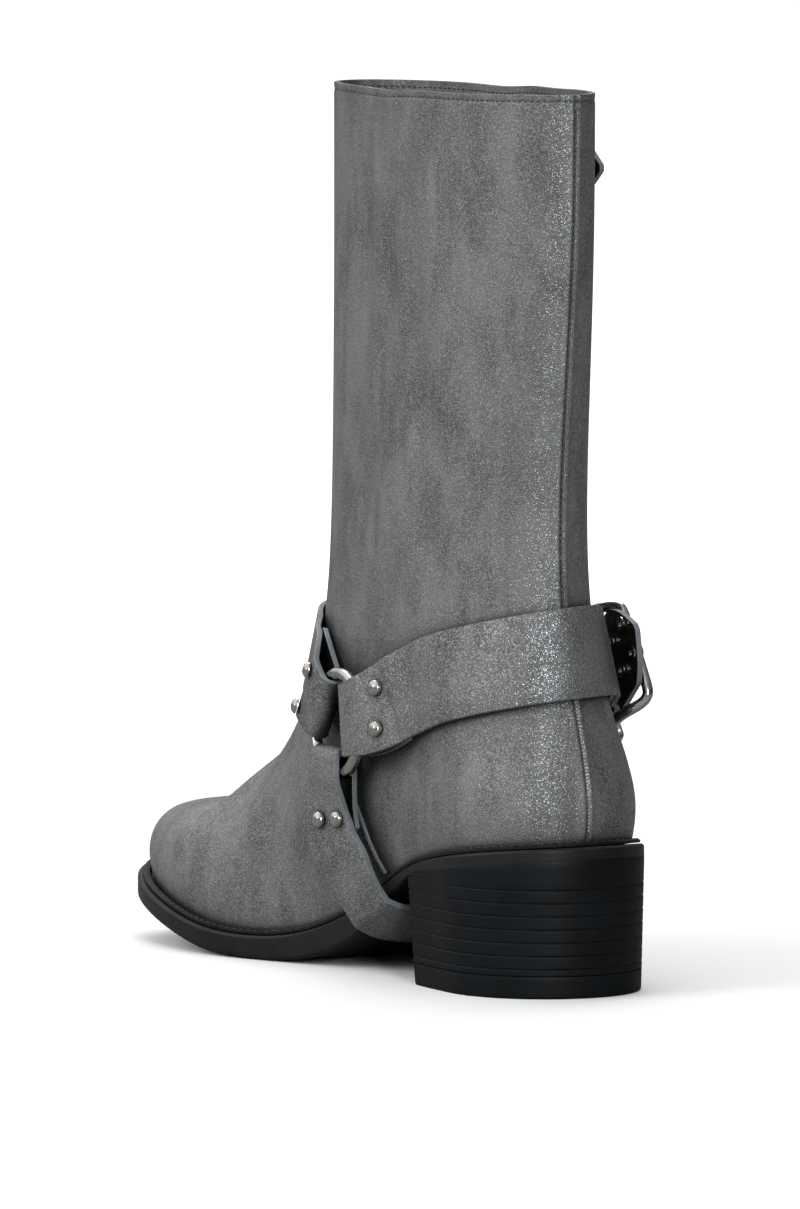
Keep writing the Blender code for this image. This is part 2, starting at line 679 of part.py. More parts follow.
class Ribbon:
    """Line that a strap follows: place, outward and width directions at a distance along it."""

    def __init__(self, centres, across, outside):
        chords = np.linalg.norm(np.diff(centres, axis=0), axis=1)
        knots = np.concatenate(([0.0], np.cumsum(chords)))
        fine = np.linspace(0.0, knots[-1], 600)
        self.places = rounded(knots, centres, fine)
        widths = rounded(knots, across, fine)
        steps = np.linalg.norm(np.diff(self.places, axis=0), axis=1)
        self.distance = np.concatenate(([0.0], np.cumsum(steps)))
        self.length = self.distance[-1]
        along = np.gradient(self.places, self.distance, axis=0)
        self.along = along / np.linalg.norm(along, axis=1)[:, None]
        outward = np.cross(self.along, widths)
        if np.dot(outward[300], outside) < 0:
            outward = -outward
        self.outward = outward / np.linalg.norm(outward, axis=1)[:, None]
        across = np.cross(self.outward, self.along)
        signs = np.sign(np.sum(across * widths, axis=1))
        self.across = across * signs[:, None]

    def keep_clear(self, tree, half):
        """Push the line outward wherever the strap's inside would cut into the upper."""
        push = np.zeros(len(self.places))
        for k, place in enumerate(self.places):
            for share in (-1.0, -0.5, 0.0, 0.5, 1.0):
                point = place + share * half * self.across[k]
                found, normal = tree.find_nearest(Vector(point))[:2]
                facing = np.sign(np.dot(np.array(normal), self.outward[k]))
                depth = -facing * np.dot(point - np.array(found), np.array(normal))
                push[k] = max(push[k], depth)
        for turn in range(3):
            around = np.pad(push, SMOOTH, mode="edge")
            window = np.ones(2 * SMOOTH + 1) / (2 * SMOOTH + 1)
            push = np.maximum(push, np.convolve(around, window, mode="valid"))
        self.places = self.places + push[:, None] * self.outward

    def pick(self, table, s):
        return np.array([np.interp(s, self.distance, table[:, k]) for k in range(3)])

    def at(self, s, rise, offset=0.0):
        """Point at a distance along, a rise off the upper and an offset across."""
        place = self.pick(self.places, s)
        return place + rise * unit(self.pick(self.outward, s)) + offset * unit(self.pick(self.across, s))

    def turned(self, s, along, rise):
        """Direction from parts along the ribbon and off it."""
        return unit(along * unit(self.pick(self.along, s)) + rise * unit(self.pick(self.outward, s)))

    def nearest(self, point):
        return self.distance[np.argmin(np.linalg.norm(self.places - point, axis=1))]


def fold_path(start, sign, wire, reach, ramp, tail):
    """Middle line of a strap that folds round a wire: distances along and rises.

    It starts at the end of the tucked layer, turns round the wire, comes down a straight ramp on the
    tucked layer and then on the upper.
    """
    low = STRAP_LIFT + STRAP / 2.0
    turn = wire + GAP + STRAP / 2.0
    high = low + 2.0 * turn
    lap = low + STRAP + GAP
    steps = [(s, low) for s in np.linspace(tail, 0.0, 5)]
    for angle in np.linspace(0.0, math.pi, 8)[1:-1]:
        steps.append((-turn * math.sin(angle), low + turn - turn * math.cos(angle)))
    steps += [(0.0, high), (reach - 1.0, high)]
    for share in np.linspace(0.0, 1.0, RAMP_STATIONS):
        steps.append((reach + 0.8 + share * (ramp - 1.6), high - 0.5 + share * (lap - high + 1.0)))
    steps += [(s, lap) for s in np.linspace(reach + ramp + 1.0, tail + 1.0, 4)]
    steps += [(tail + 5.0, (low + lap) / 2.0), (tail + 9.0, low)]
    return [(start + sign * s, rise) for s, rise in steps]


def strap_solid(collection, name, ribbon, path, half_width):
    """Strap along a path of distances and rises: an open band that is thickened both ways."""
    rows = []
    for s, rise in path:
        half = half_width(s)
        rows.append((ribbon.at(s, rise, half), ribbon.at(s, rise, -half)))
    band = add_mesh(collection, name, np.vstack(rows), side_faces(len(rows), 2, closed=False))
    thickness = band.modifiers.new("thickness", "SOLIDIFY")
    thickness.thickness = STRAP * MM
    thickness.offset = 0.0
    thickness.use_even_offset = True
    return band


def ring_solid(collection, name, frame):
    """Wire ring that lies flat over the tucked ends of the straps."""
    bpy.ops.mesh.primitive_torus_add(major_segments=RING_SEGMENTS, minor_segments=WIRE_SIDES,
                                     major_radius=RING_RADIUS * MM, minor_radius=WIRE * MM)
    rise = STRAP_LIFT + STRAP + GAP + WIRE
    centre = frame["centre"] + rise * frame["outward"]
    return place(collection, bpy.context.object, name, centre, frame["outward"])


def rivets(collection, name, ribbon, path, table):
    """Domed rivets on the top layer of a folded strap, each at its distance from the fold."""
    profile = [(RIVET_RADIUS * across, RIVET_RISE * up) for across, up in RIVET_DOME]
    top = path[TOP_STEP:]
    distances = [abs(s - top[0][0]) for s, rise in top]
    for row, (distance, offset) in table.items():
        k = int(np.searchsorted(distances, distance)) - 1
        (s, rise), (next_s, next_rise) = top[k], top[k + 1]
        share = (distance - distances[k]) / (distances[k + 1] - distances[k])
        middle = s + share * (next_s - s)
        normal = ribbon.turned(middle, rise - next_rise, next_s - s)
        if np.dot(normal, ribbon.turned(middle, 0.0, 1.0)) < 0:
            normal = -normal
        seat = ribbon.at(middle, rise + share * (next_rise - rise), offset)
        seat = seat + (STRAP / 2.0 + 1.6 * GAP) * normal
        turned(collection, "rivet_%s_%s" % (name, row), profile, seat, normal, RIVET_SIDES)


def fold_distance(half, shift=0.0):
    """How far from a ring's centre a strap's fold turns, so that the round wire fits inside it."""
    edge = half + abs(shift)
    return math.sqrt((RING_RADIUS - WIRE) ** 2 - edge ** 2) + WIRE


def make_front_strap(collection, tree, inner, outer):
    """Strap over the instep from ring to ring."""
    start, start_across = ring_leg(inner, FRONT_STRAP_TURN, RING_STATIONS[:2])
    finish, finish_across = ring_leg(outer, FRONT_STRAP_TURN, RING_STATIONS[1::-1])
    wrap, wrap_across = wrap_stations(tree, FRONT_WRAP, FRONT_AXIS, FRONT_HALF)
    ribbon = Ribbon(np.vstack((start, wrap, finish)), np.vstack((start_across, wrap_across, finish_across)),
                    np.array((0.0, 1.0, 0.3)))
    ribbon.keep_clear(tree, FRONT_HALF)
    fold = fold_distance(FRONT_FOLD_HALF) - RING_STATIONS[0]
    first = fold_path(fold, 1.0, WIRE, *FOLDS["front"])
    last = fold_path(ribbon.length - fold, -1.0, WIRE, *FOLDS["front"])
    low = STRAP_LIFT + STRAP / 2.0
    middle = [(s, low) for s in np.linspace(first[-1][0], last[-1][0], 16)[1:-1]]

    def half(s):
        places = (fold, fold + 22.0, fold + 40.0)
        halves = (FRONT_FOLD_HALF, FRONT_HALF - 1.0, FRONT_HALF)
        return float(np.interp(min(s, ribbon.length - s), places, halves))

    strap_solid(collection, "front_strap", ribbon, first + middle + last[::-1], half)
    for side, path in (("inner", first), ("outer", last)):
        rivets(collection, "front_" + side, ribbon, path, RIVETS["front"])


def make_arch_strap(collection, inner, outer):
    """Strap from ring to ring under the waist of the sole."""
    start, start_across = ring_leg(inner, ARCH_STRAP_TURN, RING_STATIONS, ARCH_SHIFT)
    finish, finish_across = ring_leg(outer, ARCH_STRAP_TURN, RING_STATIONS[::-1], ARCH_SHIFT)
    hang = np.column_stack((ARCH_WRAP["x"], ARCH_WRAP["y"], ARCH_WRAP["z"]))
    pitch = np.radians(ARCH_WRAP["pitch"])
    yaw = np.radians(ARCH_WRAP["yaw"])
    hang_across = np.column_stack((-np.sin(yaw), np.cos(yaw) * np.cos(pitch), -np.sin(pitch)))
    ribbon = Ribbon(np.vstack((start, hang, finish)), np.vstack((start_across, hang_across, finish_across)),
                    np.array((0.0, 0.0, -1.0)))
    fold = fold_distance(ARCH_HALF, ARCH_SHIFT) - RING_STATIONS[0]
    first = fold_path(fold, 1.0, WIRE, *FOLDS["arch"])
    last = fold_path(ribbon.length - fold, -1.0, WIRE, *FOLDS["arch"])
    low = STRAP_LIFT + STRAP / 2.0
    middle = [(s, low) for s in np.linspace(first[-1][0], last[-1][0], 20)[1:-1]]

    def half(s):
        return float(np.interp(min(s, ribbon.length - s), (fold, fold + 30.0), (ARCH_HALF, ARCH_FREE_HALF)))

    strap_solid(collection, "arch_strap", ribbon, first + middle + last[::-1], half)
    for side, path in (("inner", first), ("outer", last)):
        rivets(collection, "arch_" + side, ribbon, path, RIVETS["arch"])


def make_heel_strap(collection, tree, inner):
    """Strap from the inner ring round the back to the buckle's middle bar."""
    start, start_across = ring_leg(inner, HEEL_STRAP_TURN, RING_STATIONS)
    wrap, wrap_across = wrap_stations(tree, HEEL_WRAP, BACK_AXIS, HEEL_HALF)
    ribbon = Ribbon(np.vstack((start, wrap)), np.vstack((-start_across, wrap_across)),
                    np.array((0.0, -1.0, 0.0)))
    ribbon.keep_clear(tree, HEEL_HALF)
    fold = fold_distance(FOLD_HALF) - RING_STATIONS[0]
    turns = -np.array(HEEL_WRAP["turn"])
    bar = ribbon.nearest([np.interp(-BUCKLE_TURN, turns, wrap[:, k]) for k in range(3)])
    first = fold_path(fold, 1.0, WIRE, *FOLDS["heel"])
    last = fold_path(bar, -1.0, BAR, *FOLDS["bar"])
    low = STRAP_LIFT + STRAP / 2.0
    middle = [(s, low) for s in np.linspace(first[-1][0], last[-1][0], 18)[1:-1]]

    def half(s):
        places = (fold, fold + 18.0, fold + 45.0, bar - 20.0, bar)
        halves = (FOLD_HALF, HEEL_HALF - 0.8, HEEL_HALF, HEEL_HALF, HEEL_HALF - 0.4)
        return float(np.interp(s, places, halves))

    strap_solid(collection, "heel_strap", ribbon, first + middle + last[::-1], half)
    rivets(collection, "heel_inner", ribbon, first, RIVETS["heel"])
    return ribbon, bar


def make_eyelets(collection, cutters, strap, ribbon, rise, bar):
    """Metal eyelets in two rows on the free end, each in a hole of the strap."""
    outside = STRAP / 2.0 + GAP
    barrel = EYELET_HOLE + 0.6
    flange = outside + EYELET_FLANGE
    half = [(EYELET_HOLE, flange), (EYELET_RADIUS, flange), (EYELET_RADIUS, outside), (barrel, outside)]
    profile = half + [(radius, -height) for radius, height in half[::-1]]
    for k, place in enumerate(EYELET_PLACES):
        s = bar + place
        axis = ribbon.turned(s, 0.0, 1.0)
        for row, offset in (("upper", EYELET_ROW), ("lower", -EYELET_ROW)):
            name = "eyelet_%s_%d" % (row, k + 1)
            centre = ribbon.at(s, rise, offset)
            turned(collection, name, profile, centre, axis, EYELET_SIDES, closed=True)
            hole = rod(cutters, name + "_hole", centre - 2.0 * STRAP * axis, centre + 2.0 * STRAP * axis,
                       barrel + GAP, EYELET_SIDES)
            cut = strap.modifiers.new(name + "_hole", "BOOLEAN")
            cut.operation = "DIFFERENCE"
            cut.solver = "EXACT"
            cut.object = hole


def make_buckle_strap(collection, cutters, tree, outer, buckle):
    """Strap from the outer ring through the buckle, with a free end that stands off and eyelets."""
    start, start_across = ring_leg(outer, HEEL_STRAP_TURN, RING_STATIONS)
    wrap, wrap_across = wrap_stations(tree, OUTER_WRAP, BACK_AXIS, BUCKLE_STRAP_HALF)
    seat = buckle["centre"]
    free = seat + np.outer((0.0, 9.0, 18.0, 27.0, 34.0), unit(np.array(FREE_END)))
    free_across = np.array([buckle["across"]] * len(free))
    ribbon = Ribbon(np.vstack((start, wrap, free)), np.vstack((-start_across, wrap_across, free_across)),
                    np.array((1.0, 0.0, 0.0)))
    fold = fold_distance(FOLD_HALF) - RING_STATIONS[0]
    bar = ribbon.nearest(seat)
    first = fold_path(fold, 1.0, WIRE, *FOLDS["buckle"])[:-2]
    low = STRAP_LIFT + STRAP / 2.0
    lap = low + STRAP + GAP
    over = lap + 2.0 * (BAR + GAP + STRAP / 2.0)
    path = first + [(bar - 15.0, lap + 0.6), (bar - 8.0, over - 2.0), (bar - 3.0, over - 0.1)]
    path += [(s, over) for s in np.linspace(bar + 1.0, bar + TIP_REACH - TIP_END["left"][-1], 5)]
    path += [(bar + TIP_REACH - left, over) for left in (9.5, 7.0, 5.0, 3.0, 1.5, 0.0)]
    tip = bar + TIP_REACH

    def half(s):
        full = np.interp(s, (fold, fold + 30.0), (FOLD_HALF, BUCKLE_STRAP_HALF))
        return float(min(full, np.interp(tip - s, TIP_END["left"], TIP_END["half"])))

    strap = strap_solid(collection, "buckle_strap", ribbon, path, half)
    make_eyelets(collection, cutters, strap, ribbon, over, bar)
    rivets(collection, "buckle_strap", ribbon, first, RIVETS["buckle"])


def buckle_seat(ribbon, bar):
    """Place and directions of the buckle where the heel strap folds round its middle bar."""
    return {
        "centre": ribbon.pick(ribbon.places, bar),
        "along": -unit(ribbon.pick(ribbon.along, bar)),
        "across": unit(ribbon.pick(ribbon.across, bar)),
        "outward": unit(ribbon.pick(ribbon.outward, bar)),
    }


def make_buckle(collection, seat):
    """Bowed frame with a middle bar and two prongs."""
    along, outward, across, centre = seat["along"], seat["outward"], seat["across"], seat["centre"]
    corner = BUCKLE_CORNER
    plan = []
    for sign_u, sign_v, first in ((1, 1, 0.0), (-1, 1, 90.0), (-1, -1, 180.0), (1, -1, 270.0)):
        for step in range(4):
            angle = math.radians(first + 30.0 * step)
            plan.append((sign_u * (BUCKLE_LONG - corner) + corner * math.cos(angle),
                         sign_v * (BUCKLE_HALF - corner) + corner * math.sin(angle)))
        if sign_u == sign_v:
            for u in (7.0, 3.5, 0.0, -3.5, -7.0):
                plan.append((sign_u * u, sign_v * BUCKLE_HALF))
    plan = np.array(plan)
    bow = np.clip(np.abs(plan[:, 0]) / (BUCKLE_LONG - 2.0), 0.0, 1.0) ** BUCKLE_BOW
    rises = BUCKLE_LOW + (BUCKLE_RIM - BUCKLE_LOW) * bow
    curve = bpy.data.curves.new("buckle_frame", "CURVE")
    curve.dimensions = "3D"
    curve.bevel_depth = FRAME_WIRE * MM
    curve.bevel_resolution = 2
    spline = curve.splines.new("POLY")
    spline.points.add(len(plan) - 1)
    spline.use_cyclic_u = True
    for point, (u, v), rise in zip(spline.points, plan, rises):
        point.co = (*((centre + u * along + v * across + rise * outward) * MM), 1.0)
    collection.objects.link(bpy.data.objects.new("buckle_frame", curve))
    reach = (BUCKLE_HALF - FRAME_WIRE - GAP) * across
    low = centre + BUCKLE_LOW * outward
    rod(collection, "buckle_bar", low - reach, low + reach, BAR, BAR_SIDES)
    strap_top = BUCKLE_LOW + BAR + 2.0 * (STRAP + GAP)
    root = centre - along + (strap_top + GAP + PRONG) * outward
    end = centre - (BUCKLE_LONG + 1.0) * along + (BUCKLE_RIM + FRAME_WIRE + GAP + PRONG) * outward
    for row, offset in (("upper", EYELET_ROW), ("lower", -EYELET_ROW)):
        rod(collection, "prong_" + row, root + offset * across, end + offset * across, PRONG, PRONG_SIDES,
            end_radius=0.7 * PRONG)


def make_collar_strap(collection, tree):
    """Short strap on the outer side below the collar, with a pointed end that stands off."""
    wrap, across = wrap_stations(tree, COLLAR_WRAP, BACK_AXIS, COLLAR_STRAP_HALF)
    ribbon = Ribbon(wrap, across, np.array((1.0, 0.0, 0.0)))
    low = STRAP_LIFT + STRAP / 2.0
    sewn = ribbon.length - COLLAR_FREE
    path = [(s, low) for s in np.linspace(0.0, sewn, 7)]
    for part in (0.3, 0.55, 0.7, 0.85, 1.0):
        path.append((sewn + COLLAR_FREE * part, low + COLLAR_LIFT * part ** 2))

    def half(s):
        left = ribbon.length - s
        return float(np.interp(left, (0.0, 1.0, 8.0), (1.0, 2.2, COLLAR_STRAP_HALF)))

    strap_solid(collection, "collar_strap", ribbon, path, half)


def make_material(name):
    """Material with a Principled BSDF from the table of finishes."""
    colour, roughness, metallic = FINISHES[name]
    material = bpy.data.materials.new(name)
    material.use_nodes = True
    shader = material.node_tree.nodes["Principled BSDF"]
    shader.inputs["Base Color"].default_value = (*colour, 1.0)
    shader.inputs["Roughness"].default_value = roughness
    shader.inputs["Metallic"].default_value = metallic
    return material


def build():
    clear_all()
    collection = new_collection("harness_boot")
    cutters = new_collection("cutters")
    make_outsole(collection)
    make_heel_stack(collection)
    make_top_lift(collection)
    make_welt(collection)
    make_insole(collection)
    make_upper(collection)
    tree = upper_tree()
    inner = ring_frame(tree, -1.0)
    outer = ring_frame(tree, 1.0)
    ring_solid(collection, "ring_inner", inner)
    ring_solid(collection, "ring_outer", outer)
    make_front_strap(collection, tree, inner, outer)
    make_arch_strap(collection, inner, outer)
    seat = buckle_seat(*make_heel_strap(collection, tree, inner))
    make_buckle_strap(collection, cutters, tree, outer, seat)
    make_buckle(collection, seat)
    make_collar_strap(collection, tree)
    for item in (*collection.objects, *cutters.objects):
        item.location.z -= FLOOR * MM
    for item in cutters.objects:
        item.hide_render = True
        item.display_type = "WIRE"
    origin = bpy.data.objects.new("boot_origin", None)
    collection.objects.link(origin)
    materials = {name: make_material(name) for name in FINISHES}
    for item in collection.objects:
        if item is not origin:
            item.parent = origin
            item.data.materials.append(materials[FINISH_OF.get(item.name, "nickel")])


build()
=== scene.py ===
# %% [markdown]
# # A harness boot, dressed over its solids
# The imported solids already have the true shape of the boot: a hollow upper, a welted sole, a stacked
# heel and a harness of straps and rings. This lesson copies each solid, makes it smooth and fine, and
# then adds what the hand and the eye notice: soft folds, seams, stitches, cut edges and grain.

# %% Load the frame
import math

import bpy
import numpy as np
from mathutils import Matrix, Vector
from mathutils.bvhtree import BVHTree


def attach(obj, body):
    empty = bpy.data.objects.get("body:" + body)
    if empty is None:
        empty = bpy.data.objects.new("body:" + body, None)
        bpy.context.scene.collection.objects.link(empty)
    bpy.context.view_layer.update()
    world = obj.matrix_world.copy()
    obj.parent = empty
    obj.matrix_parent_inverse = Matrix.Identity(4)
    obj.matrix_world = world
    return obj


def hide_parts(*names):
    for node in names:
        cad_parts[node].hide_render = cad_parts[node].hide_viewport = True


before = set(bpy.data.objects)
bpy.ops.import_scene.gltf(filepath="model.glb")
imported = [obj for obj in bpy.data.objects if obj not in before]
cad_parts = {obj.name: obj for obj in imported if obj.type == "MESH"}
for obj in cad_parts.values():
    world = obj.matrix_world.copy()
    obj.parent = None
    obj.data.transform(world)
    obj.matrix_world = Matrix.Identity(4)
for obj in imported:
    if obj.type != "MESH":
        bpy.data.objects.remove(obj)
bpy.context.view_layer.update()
MM = 0.001

# %% [markdown]
# ## Helpers for copies of solids
# A solid arrives as loose triangles. Its copy is merged and turned back into quads, because a
# Subdivision Surface only gives a smooth result on a clean grid. Edges that must stay crisp get a
# crease first, so the subdivision rounds the form and leaves the edges where they are.

# %% Copy, smooth and finish a solid
MERGE = 0.02 * MM
QUAD_ANGLE = math.radians(60.0)


def only(item):
    """Make one object the only selected and active one."""
    bpy.ops.object.select_all(action="DESELECT")
    item.select_set(True)
    bpy.context.view_layer.objects.active = item


def copy_node(node, name):
    """New piece from a CAD node: its triangles merged and joined into quads."""
    piece = bpy.data.objects.new(name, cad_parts[node].data.copy())
    bpy.context.scene.collection.objects.link(piece)
    piece.data.name = name
    piece.data.materials.clear()
    only(piece)
    bpy.ops.object.mode_set(mode="EDIT")
    bpy.ops.mesh.customdata_custom_splitnormals_clear()
    bpy.ops.mesh.select_all(action="SELECT")
    bpy.ops.mesh.remove_doubles(threshold=MERGE)
    bpy.ops.mesh.tris_convert_to_quads(face_threshold=QUAD_ANGLE, shape_threshold=QUAD_ANGLE)
    bpy.ops.object.mode_set(mode="OBJECT")
    return piece


def crease_edges(piece, angle):
    """Crease every edge that is sharper than an angle, so that subdivision keeps it."""
    only(piece)
    bpy.ops.object.mode_set(mode="EDIT")
    bpy.ops.mesh.select_mode(type="EDGE")
    bpy.ops.mesh.select_all(action="DESELECT")
    bpy.ops.mesh.edges_select_sharp(sharpness=math.radians(angle))
    bpy.ops.transform.edge_crease(value=1.0)
    bpy.ops.object.mode_set(mode="OBJECT")


def apply_modifier(piece, kind, **settings):
    """Add a modifier with its settings and apply it."""
    only(piece)
    modifier = piece.modifiers.new(kind.lower(), kind)
    for name, value in settings.items():
        setattr(modifier, name, value)
    bpy.ops.object.modifier_apply(modifier=modifier.name)


def smooth_form(piece, levels):
    apply_modifier(piece, "SUBSURF", levels=levels, render_levels=levels)


def ease_edges(piece, width, angle=40.0):
    """Round every edge that is still sharp by a small bevel."""
    apply_modifier(piece, "BEVEL", width=width, segments=2, limit_method="ANGLE",
                   angle_limit=math.radians(angle))


def shade(piece, angle=50.0):
    only(piece)
    bpy.ops.object.shade_smooth_by_angle(angle=math.radians(angle))


def keep(piece, slot, *nodes):
    """Hand a finished piece over: it rides on the boot and stands for its nodes. Its slot is not used."""
    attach(piece, "root")
    if nodes:
        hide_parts(*nodes)
    print(piece.name, len(piece.data.polygons), "faces")


# %% [markdown]
# ## Choosing a skin of a thin solid
# A strap or the upper is a sheet with a thickness. Its outer skin, its inner skin and its rim want
# different finishes. The outer skin is every face that can be reached from one outer face without
# crossing a sharp edge, which is what Select Linked Flat Faces does.

# %% Sort faces into outer skin, inner skin and rim
OUTER, INNER, RIM = 0, 1, 2
FLAT = math.radians(55.0)
LARGE_SHARE = 0.4


def pick_faces(piece, chosen):
    """Select only the faces that pass a test, and go on in edit mode."""
    only(piece)
    bpy.ops.object.mode_set(mode="EDIT")
    bpy.ops.mesh.select_mode(type="FACE")
    bpy.ops.mesh.select_all(action="DESELECT")
    bpy.ops.object.mode_set(mode="OBJECT")
    for face in piece.data.polygons:
        face.select = chosen(face)
    bpy.ops.object.mode_set(mode="EDIT")


def flat_region(piece, seed):
    """Indices of the faces linked to a seed face across edges that aren't sharp."""
    pick_faces(piece, lambda face: face.index == seed)
    bpy.ops.mesh.faces_select_linked_flat(sharpness=FLAT)
    bpy.ops.object.mode_set(mode="OBJECT")
    return {face.index for face in piece.data.polygons if face.select}


def sort_skins(piece, direction):
    """Material index of each face: 0 outer skin, 1 inner skin, 2 rim. The outer one lies farthest out."""
    direction = Vector(direction)
    broad = LARGE_SHARE * max(face.area for face in piece.data.polygons)
    reach = {face.index: face.center.dot(direction) for face in piece.data.polygons if face.area > broad}
    outer = flat_region(piece, max(reach, key=reach.get))
    inner = flat_region(piece, next(index for index in reach if index not in outer))
    for face in piece.data.polygons:
        face.material_index = OUTER if face.index in outer else INNER if face.index in inner else RIM
    print(piece.name, "skins:", len(outer), len(inner), "of", len(piece.data.polygons))


# %% [markdown]
# ## Leather effects shared by the materials
# The upper and the straps are a soft grey leather with cloudy shades, a fine grain and a pearly finish
# that glints where it mirrors the light. A photo could be wrapped round it, but noise and cells need no
# picture and stay sharp from close by. First come short helpers that add and link nodes.

# %% Node helpers
def new_group(name, inputs, outputs):
    """Shader node group with named sockets; returns the tree and its end nodes."""
    tree = bpy.data.node_groups.new(name, "ShaderNodeTree")
    for label, kind, value in inputs:
        socket = tree.interface.new_socket(label, in_out="INPUT", socket_type=kind)
        socket.default_value = value
    for label, kind in outputs:
        tree.interface.new_socket(label, in_out="OUTPUT", socket_type=kind)
    return tree, tree.nodes.new("NodeGroupInput"), tree.nodes.new("NodeGroupOutput")


def add_node(tree, kind):
    return tree.nodes.new(kind)


def feed(tree, item, **sockets):
    """Set a node's inputs by name: from another node's socket, or to a constant."""
    for name, value in sockets.items():
        socket = item.inputs[name.replace("_", " ")]
        if isinstance(value, bpy.types.NodeSocket):
            tree.links.new(value, socket)
        else:
            socket.default_value = value
    return item


def noise(tree, vector, scale, detail=2.0, roughness=0.5, distortion=0.0):
    item = add_node(tree, "ShaderNodeTexNoise")
    feed(tree, item, Vector=vector, Scale=scale, Detail=detail, Roughness=roughness, Distortion=distortion)
    return item.outputs["Fac"]


def cells(tree, vector, scale):
    item = add_node(tree, "ShaderNodeTexVoronoi")
    feed(tree, item, Vector=vector, Scale=scale)
    return item


def remap(tree, value, low, high, new_low=0.0, new_high=1.0, smooth=True):
    item = add_node(tree, "ShaderNodeMapRange")
    item.interpolation_type = "SMOOTHSTEP" if smooth else "LINEAR"
    for name, entry in (("Value", value), ("From Min", low), ("From Max", high), ("To Min", new_low),
                        ("To Max", new_high)):
        if isinstance(entry, bpy.types.NodeSocket):
            tree.links.new(entry, item.inputs[name])
        else:
            item.inputs[name].default_value = entry
    return item.outputs["Result"]


def blend(tree, fac, first, second):
    """Mix two colours by a factor."""
    item = add_node(tree, "ShaderNodeMix")
    item.data_type = "RGBA"
    for index, entry in ((0, fac), (6, first), (7, second)):
        if isinstance(entry, bpy.types.NodeSocket):
            tree.links.new(entry, item.inputs[index])
        else:
            item.inputs[index].default_value = entry
    return item.outputs[2]


def maths(tree, operation, first, second=0.0):
    item = add_node(tree, "ShaderNodeMath")
    item.operation = operation
    for index, entry in enumerate((first, second)):
        if isinstance(entry, bpy.types.NodeSocket):
            tree.links.new(entry, item.inputs[index])
        else:
            item.inputs[index].default_value = entry
    return item.outputs[0]


def grey(value, warm=0.0):
    """Linear grey with a touch of warmth."""
    return (value * (1.0 + warm), value, value * (1.0 - warm), 1.0)


# %% [markdown]
# ## Pearly leather
# Clouds, brushed streaks, grain and glints are one node group with named inputs, so that the upper and
# the straps differ only in shades and glints. Glints are tiny cells that turn a little and shine like
# metal. Corners where pieces meet get painted shade, darkened as if by contact shadows. The group only
# puts out a colour, a roughness, a metal mask, a height and a normal.

# %% Glints and painted shade in corners
FLAKE_TILT = 0.16
# Painted shade in corners: reach in mm, darkest share, occlusion range that fades it, and the grey it
# darkens to.
CORNER_REACH = 12.0
CORNER_SHADE = 0.15
CORNER_RANGE = (0.6, 0.99)
PAINTED_SHADE_GREY = 0.012


def shift_normal(tree, colour, amount):
    """Surface normal turned at random by a colour, as far as an amount says."""
    centred = add_node(tree, "ShaderNodeVectorMath")
    centred.operation = "SUBTRACT"
    tree.links.new(colour, centred.inputs[0])
    centred.inputs[1].default_value = (0.5, 0.5, 0.5)
    scaled = add_node(tree, "ShaderNodeVectorMath")
    scaled.operation = "SCALE"
    tree.links.new(centred.outputs["Vector"], scaled.inputs[0])
    tree.links.new(amount, scaled.inputs["Scale"])
    added = add_node(tree, "ShaderNodeVectorMath")
    tree.links.new(add_node(tree, "ShaderNodeNewGeometry").outputs["Normal"], added.inputs[0])
    tree.links.new(scaled.outputs["Vector"], added.inputs[1])
    turned = add_node(tree, "ShaderNodeVectorMath")
    turned.operation = "NORMALIZE"
    tree.links.new(added.outputs["Vector"], turned.inputs[0])
    return turned.outputs["Vector"]


def painted_corner_shade(tree, colour):
    """A colour with painted shade: darker in the narrow corners where pieces meet, in place of contact
    shadows.
    """
    corner = add_node(tree, "ShaderNodeAmbientOcclusion")
    corner.samples = 8
    corner.inputs["Distance"].default_value = CORNER_REACH * MM
    unshaded_share = remap(tree, corner.outputs["AO"], *CORNER_RANGE, CORNER_SHADE, 1.0, smooth=False)
    return blend(tree, unshaded_share, grey(PAINTED_SHADE_GREY), colour)


# %% Leather group
GRAIN_CELLS = 1350.0
SPECKLE_CELLS = 2900.0
CLOUD_SIZE, CLOUD_RANGE, CLOUD_SHARE = 32.0, (0.32, 0.68), 0.28
STREAK_SIZE, STREAK_RANGE, STREAK_SHARE = 90.0, (0.4, 0.7), 0.32
STREAK_STRETCH = (1.0, 1.0, 0.4)
BRUSHED = ((0.1, 0.3, 0.0), (-0.25, -0.45, 0.0))
FLECK_RANGE, FLECK_SHARE = (0.38, 0.62), 0.5
CELL_SHARE = 0.22
SPARK_RANGE = (0.6, 0.92)
DULLNESS, SPARK_POLISH = (0.44, 0.54), 0.28


def brushed_tone(tree, place):
    """Cloudy shade with streaks brushed two ways."""
    cloud = noise(tree, place, CLOUD_SIZE, 3.0, 0.5)
    tone = remap(tree, cloud, *CLOUD_RANGE, 0.0, CLOUD_SHARE)
    for turn in BRUSHED:
        stretch = add_node(tree, "ShaderNodeMapping")
        feed(tree, stretch, Vector=place, Rotation=turn, Scale=STREAK_STRETCH)
        streak = noise(tree, stretch.outputs["Vector"], STREAK_SIZE, 3.0, 0.5, 0.5)
        tone = maths(tree, "ADD", tone, remap(tree, streak, *STREAK_RANGE, 0.0, STREAK_SHARE))
    return tone


